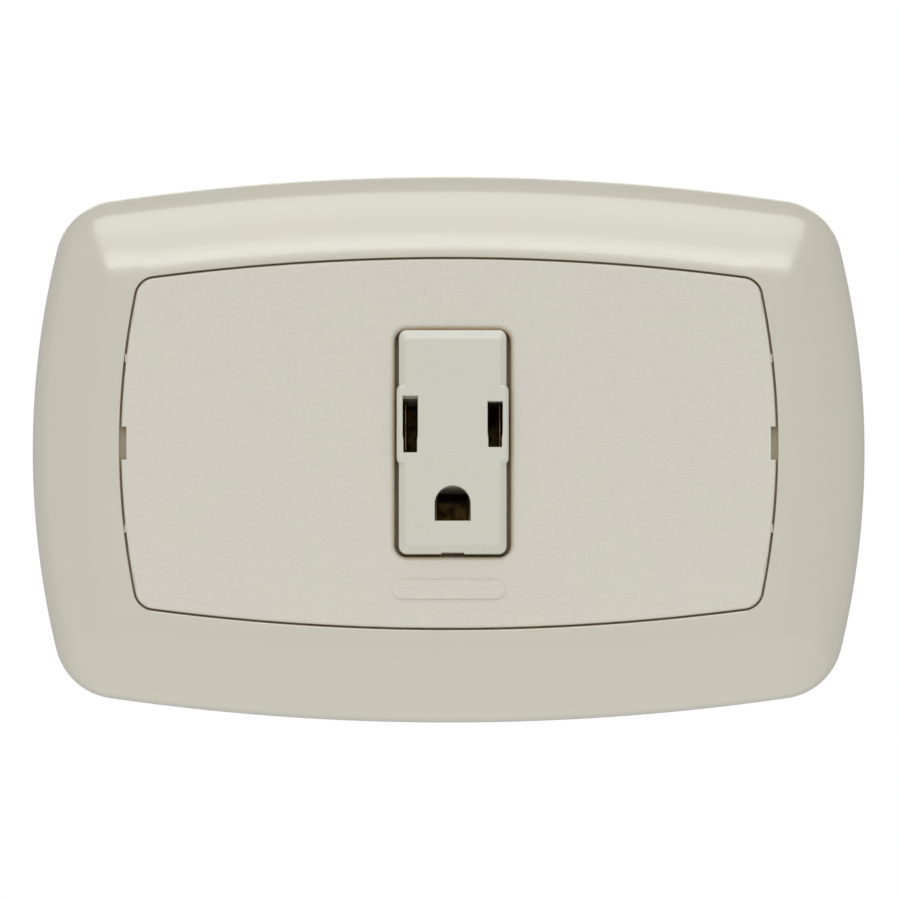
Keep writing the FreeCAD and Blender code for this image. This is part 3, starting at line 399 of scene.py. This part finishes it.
metalSheets = {
    "strapSteel": {
        "Colour": (0.52, 0.53, 0.54, 1), "Tarnish And Shade": (0.33, 0.33, 0.32, 1), "Tarnish And Shade Amount": 0.35,
        "Spangle": 0.28, "Roughness": 0.36, "Scratches": 0.25, "bump": 0.03,
    },
    "fixingSteel": {
        "Colour": (0.60, 0.60, 0.58, 1), "Tarnish And Shade": (0.36, 0.33, 0.26, 1), "Tarnish And Shade Amount": 0.35,
        "Spangle": 0.0, "Roughness": 0.28, "Scratches": 0.30, "bump": 0.03,
    },
    "washerSteel": {
        "Colour": (0.58, 0.59, 0.58, 1), "Tarnish And Shade": (0.34, 0.32, 0.27, 1), "Tarnish And Shade Amount": 0.3,
        "Spangle": 0.05, "Roughness": 0.32, "Scratches": 0.45, "bump": 0.04,
    },
    # The contacts' brass is tarnished and darkened far past it: painted shade for the slots they sit in.
    "contactBrass": {
        "Colour": (0.30, 0.20, 0.065, 1), "Tarnish And Shade": (0.075, 0.045, 0.014, 1), "Tarnish And Shade Amount": 0.75,
        "Spangle": 0.0, "Roughness": 0.34, "Scratches": 0.5, "Wear": 0.05, "bump": 0.05,
    },
    "silverScrew": {
        "Colour": (0.66, 0.65, 0.61, 1), "Tarnish And Shade": (0.38, 0.34, 0.27, 1), "Tarnish And Shade Amount": 0.25,
        "Spangle": 0.0, "Roughness": 0.24, "Scratches": 0.35, "bump": 0.03,
    },
    "brassScrew": {
        "Colour": (0.62, 0.43, 0.17, 1), "Tarnish And Shade": (0.30, 0.17, 0.07, 1), "Tarnish And Shade Amount": 0.35,
        "Spangle": 0.0, "Roughness": 0.25, "Scratches": 0.35, "bump": 0.03,
    },
    "greenScrew": {
        "Colour": (0.035, 0.19, 0.065, 1), "Tarnish And Shade": (0.02, 0.08, 0.03, 1), "Tarnish And Shade Amount": 0.5,
        "Spangle": 0.0, "Roughness": 0.28, "Scratches": 0.4, "bump": 0.03,
    },
    "clampSteel": {
        "Colour": (0.55, 0.56, 0.56, 1), "Tarnish And Shade": (0.32, 0.31, 0.27, 1), "Tarnish And Shade Amount": 0.4,
        "Spangle": 0.0, "Roughness": 0.33, "Scratches": 0.6, "bump": 0.04,
    },
    "housingSteel": {
        "Colour": (0.50, 0.48, 0.43, 1), "Tarnish And Shade": (0.26, 0.22, 0.16, 1), "Tarnish And Shade Amount": 0.45,
        "Spangle": 0.0, "Roughness": 0.34, "Scratches": 0.4, "bump": 0.03,
    },
}


coatRoughness = 0.08


def makeMaterial(name, sheet, group, metallic):
    material = bpy.data.materials.new(name)
    material.use_nodes = True
    tree = material.node_tree
    shader = tree.nodes["Principled BSDF"]
    surface = tree.nodes.new("ShaderNodeGroup")
    surface.node_tree = group
    for title, value in sheet.items():
        if title in surface.inputs:
            surface.inputs[title].default_value = value
    bump = addNode(tree, "ShaderNodeBump", None, Strength=1.0, Distance=sheet["bump"] * mm,
                   Height=surface.outputs["Height"])
    tree.links.new(surface.outputs["Colour"], shader.inputs["Base Color"])
    tree.links.new(surface.outputs["Roughness"], shader.inputs["Roughness"])
    tree.links.new(bump.outputs[0], shader.inputs["Normal"])
    shader.inputs["Metallic"].default_value = metallic
    shader.inputs["Coat Weight"].default_value = sheet.get("coat", 0.0)
    shader.inputs["Coat Roughness"].default_value = coatRoughness
    return material


materials = {}
for title, sheet in plasticSheets.items():
    materials[title] = makeMaterial(title, sheet, mouldedGroup, 0.0)
for title, sheet in metalSheets.items():
    materials[title] = makeMaterial(title, sheet, metalGroup, 1.0)
print("materials ready:", len(materials))


# Mesh helpers.

def shadeByAngle(mesh, degrees):
    # Smooth faces, crisp at edges sharper than the limit and round every large flat face.
    bm = bmesh.new()
    bm.from_mesh(mesh)
    limit, flatLimit, largeArea = math.radians(degrees), math.radians(0.3), 5 * mm * mm
    for face in bm.faces:
        face.smooth = True
    for edge in bm.edges:
        turn = edge.calc_face_angle(math.pi)
        large = any(face.calc_area() > largeArea for face in edge.link_faces)
        edge.smooth = turn < (flatLimit if large else limit)
    bm.to_mesh(mesh)
    bm.free()


def newPiece(name, bm, material, node, sharp):
    mesh = bpy.data.meshes.new(name)
    bmesh.ops.recalc_face_normals(bm, faces=bm.faces)
    bm.to_mesh(mesh)
    bm.free()
    mesh.materials.append(materials[material])
    shadeByAngle(mesh, sharp)
    piece = bpy.data.objects.new(name, mesh)
    scene.collection.objects.link(piece)
    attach(piece, nodes[node]["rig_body"])
    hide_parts(node)
    return piece


def ring(bm, points):
    return [bm.verts.new(point) for point in points]


def bridge(bm, first, second):
    count = len(first)
    for k in range(count):
        after = (k + 1) % count
        bm.faces.new((first[k], first[after], second[after], second[k]))


# Refined copies of the moulded and stamped parts.

# node: material, slot, width of the edge rounding in millimetres, its segments
refinedParts = {
    "insert_plate": ("insertMatte", "insert_matte", 0, 0),
    "support_frame": ("strapSteel", "strap_steel", 0.12, 2),
    "fixing_washer_left": ("washerSteel", "washer_steel", 0.10, 2),
    "fixing_washer_right": ("washerSteel", "washer_steel", 0.10, 2),
    "module_base": ("basePlastic", "base_plastic", 0.20, 2),
    "neutral_contact": ("contactBrass", "contact_brass", 0.06, 1),
    "hot_contact": ("contactBrass", "contact_brass", 0.06, 1),
    "ground_contact": ("contactBrass", "contact_brass", 0.06, 1),
    "neutral_wire_clamp": ("clampSteel", "clamp_steel", 0.10, 2),
    "hot_wire_clamp": ("clampSteel", "clamp_steel", 0.10, 2),
    "ground_wire_clamp": ("clampSteel", "clamp_steel", 0.10, 2),
}


# weld in millimetres, angles in degrees
refining = {"weld": 0.001, "flatWithin": 0.1, "shadeAngle": 32, "edgeAngle": 34}


def refinedCopy(node):
    # The CAD shape, with its points welded and its flat faces joined.
    bm = bmesh.new()
    bm.from_mesh(nodes[node].data)
    bmesh.ops.remove_doubles(bm, verts=bm.verts, dist=refining["weld"] * mm)
    bmesh.ops.dissolve_limit(bm, angle_limit=math.radians(refining["flatWithin"]), verts=bm.verts,
                             edges=bm.edges)
    return bm


def makeRefinedPart(node, material, slotName, rounding, segments):
    # The sharp edges are rounded, except on a piece whose rounding is 0.
    piece = newPiece(node + "_look", refinedCopy(node), material, node, refining["shadeAngle"])
    if not rounding:
        return
    bevel = piece.modifiers.new("edgeRounding", "BEVEL")
    bevel.width = rounding * mm
    bevel.segments = segments
    bevel.limit_method = "ANGLE"
    bevel.angle_limit = math.radians(refining["edgeAngle"])
    bevel.use_clamp_overlap = False
    bevel.harden_normals = True


for node, settings in refinedParts.items():
    makeRefinedPart(node, *settings)
print("refined parts ready")


# Cover frame: a bowed ring swept through its profile.

coverFrame = {
    "topArc": 353.0,
    "sideArc": 128.0,
    "outerCorner": 9.7,
    "windowCorner": 3.2,
    "band": 13.2,
    "overrun": 1.8,
    "rim": 1.8,
    "crest": 9.2,
    "insertThickness": 2.0,
    "ledge": 3.0,
    "ledgeThickness": 1.8,
    "shellWall": 2.0,
    "cavityTaper": 2.5,
    "rimRound": 0.25,
    "edgeRound": 0.22,
    "arcSteps": (56, 22, 40),
    "curveSteps": 44,
    "clipSpacing": 60.0,
    "clipSize": (8.0, 1.8),
    "clipFloor": 0.4,
    "clipBump": (0.15, 1.0, 2.8),
    "clipGap": 0.25,
    "clipRoot": 0.2,
    "clipRound": 0.15,
    "bumpRoot": 0.5,
    "bumpRound": 0.12,
    "ledgeChamfer": 0.15,
    "roofChamfer": 0.5,
    "roundSteps": 4,
    "shadeAngle": 36,
}


def quarterOutline(inset, corner):
    # The upper right quarter of the bowed outline, from the top's middle to the side's, in millimetres.
    spec = coverFrame
    halfWide, halfHigh = cadBox[1][0] / mm, cadBox[1][2] / mm
    topMiddle = Vector((0, halfHigh - spec["topArc"]))
    sideMiddle = Vector((halfWide - spec["sideArc"], 0))
    topRadius, sideRadius = spec["topArc"] - inset, spec["sideArc"] - inset
    # The corner arc touches both wide arcs from inside.
    reachTop, reachSide = topRadius - corner, sideRadius - corner
    apart = sideMiddle - topMiddle
    span = apart.length
    along = (span * span + reachTop * reachTop - reachSide * reachSide) / (2 * span)
    across = math.sqrt(max(reachTop * reachTop - along * along, 0))
    unit = apart / span
    sides = [topMiddle + unit * along + Vector((-unit.y, unit.x)) * across * way for way in (1, -1)]
    centre = max(sides, key=lambda point: point.x + point.y)
    topEnd, sideEnd = centre - topMiddle, centre - sideMiddle
    topTurn, sideTurn = math.atan2(topEnd.x, topEnd.y), math.atan2(sideEnd.x, sideEnd.y)
    arcs = (
        (topMiddle, topRadius, 0.0, topTurn),
        (centre, corner, topTurn, sideTurn),
        (sideMiddle, sideRadius, sideTurn, math.pi / 2),
    )
    points = []
    for (middle, radius, start, end), steps in zip(arcs, spec["arcSteps"]):
        for k in range(steps):
            turn = start + (end - start) * k / steps
            points.append((middle.x + radius * math.sin(turn), middle.y + radius * math.cos(turn)))
    points.append((sideMiddle.x + sideRadius, 0.0))
    return points


def bowedRing(bm, inset, height, corner):
    # A closed ring of vertices on the outline, at a height out of the wall.
    quarter = quarterOutline(inset, corner)
    right = quarter + [(x, -z) for x, z in reversed(quarter[:-1])]
    left = [(-x, z) for x, z in reversed(right[1:-1])]
    return ring(bm, [Vector((x, -height, z)) * mm for x, z in right + left])


def coverProfile():
    # Stations of (inset, height, corner radius), from the cavity's rim over the front to the cavity's roof.
    spec = coverFrame
    width = spec["band"] + spec["overrun"]
    rise = spec["crest"] - spec["rim"]
    cornerChange = spec["windowCorner"] - spec["outerCorner"]
    rimRound, edgeRound = spec["rimRound"], spec["edgeRound"]
    stations = [(spec["shellWall"], 0.0, spec["outerCorner"] - spec["shellWall"])]
    roundSteps, ledgeChamfer, roofChamfer = spec["roundSteps"], spec["ledgeChamfer"], spec["roofChamfer"]
    for k in range(roundSteps + 1):
        turn = math.pi / 2 * k / roundSteps
        inset, height = rimRound * (1 - math.sin(turn)), rimRound * (1 - math.cos(turn))
        stations.append((inset, height, spec["outerCorner"]))
    last = math.acos(1 - (spec["band"] - edgeRound) / width)
    for k in range(spec["curveSteps"] + 1):
        turn = last * k / spec["curveSteps"]
        inward = 1 - math.cos(turn)
        corner = spec["outerCorner"] + cornerChange * inward
        stations.append((width * inward, spec["rim"] + rise * math.sin(turn), corner))
    top = stations[-1][1]
    for k in range(1, roundSteps + 1):
        turn = math.pi / 2 * k / roundSteps
        inset = spec["band"] - edgeRound * (1 - math.sin(turn))
        stations.append((inset, top - edgeRound * (1 - math.cos(turn)), spec["windowCorner"]))
    seat = spec["crest"] - spec["insertThickness"]
    roof = seat - spec["ledgeThickness"]
    opening = spec["band"] + spec["ledge"]
    ceiling = spec["shellWall"] + spec["cavityTaper"]
    stations.append((spec["band"], seat, spec["windowCorner"]))
    stations.append((opening - ledgeChamfer, seat, spec["windowCorner"]))
    stations.append((opening, seat - ledgeChamfer, spec["windowCorner"]))
    stations.append((opening, roof + ledgeChamfer, spec["windowCorner"]))
    stations.append((opening - ledgeChamfer, roof, spec["windowCorner"]))
    stations.append((ceiling + roofChamfer, roof, spec["outerCorner"] - ceiling))
    stations.append((ceiling, roof - roofChamfer, spec["outerCorner"] - ceiling))
    return stations


def addBlock(bm, low, high, rounding):
    # A block with rounded edges, between two corners in millimetres.
    made = bmesh.ops.create_cube(bm, size=1.0)["verts"]
    for vertex in made:
        for axis in range(3):
            vertex.co[axis] = (high[axis] if vertex.co[axis] > 0 else low[axis]) * mm
    edges = list({edge for vertex in made for edge in vertex.link_edges})
    bmesh.ops.bevel(bm, geom=edges, offset=rounding * mm, segments=2, profile=0.5, affect="EDGES")


def makeCoverFrame():
    spec = coverFrame
    bm = bmesh.new()
    rings = [bowedRing(bm, *station) for station in coverProfile()]
    for k, first in enumerate(rings):
        bridge(bm, first, rings[(k + 1) % len(rings)])

    # Four clips hang from the ledge, each with a bump that snaps into the strap's lip.
    roof = spec["crest"] - spec["insertThickness"] - spec["ledgeThickness"]
    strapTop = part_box("support_frame")[1].z / mm
    wide, thick = spec["clipSize"]
    bump, bumpHeight, bumpMiddle = spec["clipBump"]
    for sideX in (-1, 1):
        for sideZ in (-1, 1):
            middleX = spec["clipSpacing"] / 2 * sideX
            inner = strapTop + spec["clipGap"]
            foot, tip = sorted((inner * sideZ, (inner + thick) * sideZ))
            addBlock(bm, (middleX - wide / 2, -roof - spec["clipRoot"], foot),
                     (middleX + wide / 2, -spec["clipFloor"], tip), spec["clipRound"])
            foot, tip = sorted(((inner - bump) * sideZ, (inner + spec["bumpRoot"]) * sideZ))
            addBlock(bm, (middleX - wide / 4, -bumpMiddle - bumpHeight / 2, foot),
                     (middleX + wide / 4, -bumpMiddle + bumpHeight / 2, tip), spec["bumpRound"])
    newPiece("outer_frame_look", bm, "frameGloss", "outer_frame", spec["shadeAngle"])


makeCoverFrame()
print("cover frame ready")


# Socket face: a bevelled body with a cheek beside each slot, on the CAD part's rear half.

socketFace = {
    "joint": 2.2,
    "body": (8.05, 16.7, 16.96, 1.2),
    "bevels": (0.95, 1.40, 1.20),
    "bevelProfile": [
        (0.0, 0.98), (0.015, 0.86), (0.05, 0.76), (0.11, 0.69), (0.18, 0.635), (0.86, 0.095), (0.92, 0.05),
        (0.96, 0.018), (1.0, 0.0), (1.04, 0.0),
    ],
    "cheek": (8.375, 6.1, 1.1),
    "cheekRound": 0.55,
    "bladeRise": 2.7,
    "bladeSpacing": 12.7,
    "slotHeights": (8.5, 6.9),
    "slotWidth": 2.27,
    "slotNarrowing": 0.11,
    "rimFlare": 0.09,
    "groundDrop": 11.89,
    "groundWidth": 5.35,
    "groundFlat": 2.62,
    "toe": (3.4, 0.2),
    "toeRound": 0.08,
    "bodyCornerLoss": 0.35,
    "cheekCornerLoss": 0.6,
    "cheekFlat": 0.04,
    "cheekSteps": 6,
    "kneeShare": 0.32,
    "ankleShare": 0.20,
    "slotFoot": 0.1,
    "archSteps": 24,
    "cornerSteps": 9,
    "through": 0.3,
    "mouthOverrun": 0.2,
    "shadeAngle": 30,
}


def roundedRing(bm, low, high, radius, height):
    # A closed ring on a rounded rectangle between two (x, z) corners, in millimetres.
    steps = socketFace["cornerSteps"]
    points = []
    for quarter, (sideX, sideZ) in enumerate(((1, 1), (-1, 1), (-1, -1), (1, -1))):
        middleX = high[0] - radius if sideX > 0 else low[0] + radius
        middleZ = high[1] - radius if sideZ > 0 else low[1] + radius
        for k in range(steps):
            turn = math.pi / 2 * (quarter + k / (steps - 1))
            x, z = middleX + radius * math.cos(turn), middleZ + radius * math.sin(turn)
            points.append(Vector((x, -height, z)) * mm)
    return ring(bm, points)


def closedLoft(bm, rings):
    for first, second in zip(rings, rings[1:]):
        bridge(bm, first, second)
    bm.faces.new(rings[0])
    bm.faces.new(rings[-1])
    bmesh.ops.recalc_face_normals(bm, faces=bm.faces)


def looseObject(bm, name):
    mesh = bpy.data.meshes.new(name)
    bm.to_mesh(mesh)
    bm.free()
    obj = bpy.data.objects.new(name, mesh)
    scene.collection.objects.link(obj)
    return obj


def combine(base, others):
    # Applies (object, operation) booleans to the base, removes all of them, and returns the mesh.
    for other, operation in others:
        step = base.modifiers.new(other.name, "BOOLEAN")
        step.object, step.operation, step.solver = other, operation, "EXACT"
    bpy.context.view_layer.update()
    shaped = bpy.data.meshes.new_from_object(base.evaluated_get(bpy.context.evaluated_depsgraph_get()))
    for extra in [base] + [other for other, operation in others]:
        bpy.data.objects.remove(extra)
    return shaped


def openingCutter(outline, top, joint, flare, name):
    # A prism through the face wall, its mouth open at 45 degrees. The outline has (x, z, way x, way z).
    bm = bmesh.new()
    rings = []
    over, through = socketFace["mouthOverrun"], socketFace["through"]
    for height, offset in ((top - joint - through, 0.0), (top - flare, 0.0), (top + over, flare + over)):
        rings.append(ring(bm, [Vector((x + wayX * offset, -height, z + wayZ * offset)) * mm
                               for x, z, wayX, wayZ in outline]))
    closedLoft(bm, rings)
    return looseObject(bm, name)


def makeSocketFace():
    spec = socketFace
    low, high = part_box("module_front")
    middle = (low.x + high.x) / 2 / mm
    top = -low.y / mm
    joint = top - spec["joint"]

    halfWide, below, above, corner = spec["body"]
    side, upper, lower = spec["bevels"]
    bm = bmesh.new()
    rings = [roundedRing(bm, (middle - halfWide, -below), (middle + halfWide, above), corner, joint)]
    for share, drop in spec["bevelProfile"]:
        rings.append(roundedRing(
            bm, (middle - halfWide + side * share, -below + lower * share),
            (middle + halfWide - side * share, above - upper * share),
            corner - spec["bodyCornerLoss"] * share, top - drop))
    closedLoft(bm, rings)
    body = looseObject(bm, "socketBody")

    halfWide, halfHigh, corner = spec["cheek"]
    rounding, rise, steps = spec["cheekRound"], spec["bladeRise"], spec["cheekSteps"]
    bm = bmesh.new()
    rings = []
    stations = [(0.0, spec["joint"])]
    for k in range(steps + 1):
        turn = math.pi / 2 * k / steps
        stations.append((rounding * (1 - math.cos(turn)), rounding * (1 - math.sin(turn))))
    stations.append((rounding + spec["cheekFlat"], 0.0))
    for inset, drop in stations:
        rings.append(roundedRing(
            bm, (middle - halfWide + inset, rise - halfHigh + inset),
            (middle + halfWide - inset, rise + halfHigh - inset),
            corner - inset * spec["cheekCornerLoss"], top - drop))
    closedLoft(bm, rings)
    parts = [(looseObject(bm, "socketCheeks"), "UNION")]

    half, narrowing = spec["slotWidth"] / 2, spec["slotNarrowing"]
    for way, height in zip((-1, 1), spec["slotHeights"]):
        x = middle + spec["bladeSpacing"] / 2 * way
        foot, head = rise - height / 2, rise + height / 2
        knee, ankle = foot + height * spec["kneeShare"], foot + height * spec["ankleShare"]
        slim, cut = half - narrowing, spec["slotFoot"]
        outline = [
            (x - slim + cut, foot, -0.5, -1), (x + slim - cut, foot, 0.5, -1),
            (x + slim, foot + cut, 1, -0.5), (x + slim, ankle, 1, 0), (x + half, knee, 1, 0),
            (x + half, head, 1, 1), (x - half, head, -1, 1),
            (x - half, knee, -1, 0), (x - slim, ankle, -1, 0), (x - slim, foot + cut, -1, -0.5),
        ]
        cutter = openingCutter(outline, top, spec["joint"], spec["rimFlare"], "bladeCutter")
        parts.append((cutter, "DIFFERENCE"))
    groundZ, radius = rise - spec["groundDrop"], spec["groundWidth"] / 2
    turns = [math.pi * k / spec["archSteps"] for k in range(spec["archSteps"] + 1)]
    arch = [(math.cos(turn), math.sin(turn)) for turn in turns]
    outline = [(middle + radius * x, groundZ + radius * z, x, z) for x, z in arch]
    flat = groundZ - spec["groundFlat"]
    outline += [(middle - radius, flat, -1, -1), (middle + radius, flat, 1, -1)]
    cutter = openingCutter(outline, top, spec["joint"], spec["rimFlare"], "groundCutter")
    parts.append((cutter, "DIFFERENCE"))
    toeWide, toeDeep = spec["toe"]
    bm = bmesh.new()
    foot = -spec["body"][1]
    addBlock(bm, (middle - toeWide / 2, -top - 1, foot - 0.4),
             (middle + toeWide / 2, -joint + spec["through"], foot + toeDeep), spec["toeRound"])
    parts.append((looseObject(bm, "toeCutter"), "DIFFERENCE"))
    shaped = combine(body, parts)

    # The CAD part's rear half, up to the joint.
    bm = refinedCopy("module_front")
    everything = bm.verts[:] + bm.edges[:] + bm.faces[:]
    bmesh.ops.bisect_plane(bm, geom=everything, plane_co=(0, (-joint - refining["weld"]) * mm, 0),
                           plane_no=(0, -1, 0), clear_outer=True)
    bm.from_mesh(shaped)
    newPiece("module_front_look", bm, "moduleSatin", "module_front", spec["shadeAngle"])


makeSocketFace()
print("socket face ready")


# Screws, with turned heads, rolled threads and a slotted cross drive.

# node: material, slot, then millimetres: shank radius, thread depth, pitch, head height, neck length
screws = {
    "fixing_screw_left": ("fixingSteel", "fixing_steel", 1.75, 0.35, 0.79, 2.2, 2.35),
    "fixing_screw_right": ("fixingSteel", "fixing_steel", 1.75, 0.35, 0.79, 2.2, 2.35),
    "neutral_terminal_screw": ("silverScrew", "silver_screw", 1.75, 0.28, 0.79, 2.0, 0.3),
    "hot_terminal_screw": ("brassScrew", "brass_screw", 1.75, 0.28, 0.79, 2.0, 0.3),
    "ground_terminal_screw": ("greenScrew", "green_screw", 1.75, 0.28, 0.79, 2.0, 0.3),
    "housing_screw_left": ("housingSteel", "housing_steel", 1.25, 0.30, 0.95, 1.6, 0.6),
    "housing_screw_right": ("housingSteel", "housing_steel", 1.25, 0.30, 0.95, 1.6, 0.6),
}

screwForm = {
    "segments": 40, "stepsPerTurn": 8, "shadeAngle": 40,
    # head: shares of its radius and height, then (inset, height) down to the seat
    "crownSteps": 8, "crownFlat": 0.50, "crownFoot": 0.30,
    "seatEdge": ((0.0, -0.12), (0.06, -0.02), (0.12, 0.0)),
    "fillet": 0.15, "filletFoot": 0.06, "filletLength": 0.08, "neckEnd": 0.98,
    # thread: shares of a turn, of the pitch, of the radius and of the depth
    "crestHalf": 0.08, "flank": 0.30, "fade": 0.7, "point": 0.45, "pointCrest": 0.2, "pointSlope": 4,
    "tipLoss": 0.25,
    # drive
    "driveWidth": 1.0, "driveDepth": 1.0, "driveRound": 0.05, "driveOverrun": 1.3, "cutAbove": 1,
    "crossWidth": 0.9, "crossArm": 0.52, "crossDepth": 1.3, "crossTaper": (0.55, 0.45),
}


def threadRadius(turns, radius, depth):
    # A rolled thread: a trapezoid between root and crest, once in each turn.
    phase = turns % 1.0
    ridge = min(max((abs(phase - 0.5) - screwForm["crestHalf"]) / screwForm["flank"], 0.0), 1.0)
    return radius - depth * (1 - ridge)


def screwBody(radius, depth, pitch, headRadius, headHeight, neck, length):
    # The screw along its own axis: head below 0, shank from 0 to its length.
    form = screwForm
    count = form["segments"]
    head, flat, foot = [], form["crownFlat"], form["crownFoot"]
    for k in range(form["crownSteps"] + 1):
        turn = math.pi / 2 * k / form["crownSteps"]
        head.append((headRadius * (flat + (1 - flat) * math.sin(turn)),
                     -headHeight * (foot + (1 - foot) * math.cos(turn))))
    head += [(headRadius - inset, height) for inset, height in form["seatEdge"]]
    head.append((radius + form["fillet"], 0.0))
    steps = int((length - neck) / pitch * form["stepsPerTurn"])
    point, root = radius * form["point"], radius - depth
    bm = bmesh.new()
    tip = bm.verts.new((0, 0, -headHeight * mm))
    rings = []

    def addRing(height, radiusAt):
        points = []
        for k in range(count):
            turn, reach = 2 * math.pi * k / count, radiusAt(k)
            points.append(Vector((reach * math.cos(turn), reach * math.sin(turn), height)) * mm)
        rings.append(ring(bm, points))

    for ringRadius, height in head:
        addRing(height, lambda k, value=ringRadius: value)
    addRing(form["filletLength"], lambda k: root + form["filletFoot"])
    addRing(neck * form["neckEnd"], lambda k: root)
    fadeLength = pitch * form["fade"]
    for step in range(steps + 1):
        height = neck + (length - neck) * step / steps
        fade = min(1.0, (height - neck) / fadeLength, max(0.0, (length - height) / fadeLength))
        pointed = max(0.0, length - height - point) * form["pointSlope"]
        limit = radius - depth * form["pointCrest"] + pointed

        def radiusAt(k, height=height, fade=fade, limit=limit):
            full = threadRadius((height - neck) / pitch - k / count, radius, depth)
            return min(root + (full - root) * fade, limit)
        addRing(height, radiusAt)
    addRing(length, lambda k: root - form["tipLoss"])
    for k in range(count):
        bm.faces.new((tip, rings[0][(k + 1) % count], rings[0][k]))
    for first, second in zip(rings, rings[1:]):
        bridge(bm, first, second)
    bm.faces.new(rings[-1])
    return bm


def driveCutters(headRadius, headHeight):
    # A slot across the head and a tapered cross in its middle.
    form = screwForm
    slotHalf, depth = form["driveWidth"] / 2, form["driveDepth"]
    reach, above = headRadius * form["driveOverrun"], -headHeight - form["cutAbove"]
    bm = bmesh.new()
    addBlock(bm, (-reach, -slotHalf, above), (reach, slotHalf, depth - headHeight), form["driveRound"])
    slot = looseObject(bm, "driveSlot")
    bm = bmesh.new()
    arm, narrow = headRadius * form["crossArm"], form["crossWidth"] / 2
    taperX, taperY = form["crossTaper"]
    below = depth * form["crossDepth"] - headHeight
    outline = [(-narrow, -arm), (narrow, -arm), (narrow, arm), (-narrow, arm)]
    upper = ring(bm, [(x * mm, y * mm, above * mm) for x, y in outline])
    lower = ring(bm, [(x * taperX * mm, y * taperY * mm, below * mm) for x, y in outline])
    closedLoft(bm, [upper, lower])
    return [slot, looseObject(bm, "driveCross")]


def makeScrew(node, material, slotName, radius, depth, pitch, headHeight, neck):
    low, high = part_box(node)
    headRadius = (high.x - low.x) / 2 / mm
    length = (high.y - low.y) / mm - headHeight
    middle = (low + high) / 2
    faceOut = node.startswith("fixing")
    body = screwBody(radius, depth, pitch, headRadius, headHeight, neck, length)
    bmesh.ops.recalc_face_normals(body, faces=body.faces)
    mesh = bpy.data.meshes.new(node)
    body.to_mesh(mesh)
    body.free()
    blank = bpy.data.objects.new(node + "_blank", mesh)
    scene.collection.objects.link(blank)
    shaped = combine(blank, [(cutter, "DIFFERENCE") for cutter in driveCutters(headRadius, headHeight)])

    # The axis goes from the head's seat towards the point: +Y for the fixing screws, -Y for the others.
    turn = Matrix.Rotation(math.radians(-90 if faceOut else 90), 4, "X")
    seat = low.y + headHeight * mm if faceOut else high.y - headHeight * mm
    bm = bmesh.new()
    bm.from_mesh(shaped)
    bmesh.ops.transform(bm, matrix=Matrix.Translation((middle.x, seat, middle.z)) @ turn, verts=bm.verts)
    newPiece(node + "_look", bm, material, node, screwForm["shadeAngle"])


for node, settings in screws.items():
    makeScrew(node, *settings)
print("screws ready")

makeCamera()
makeStudio()
print("camera and studio ready")
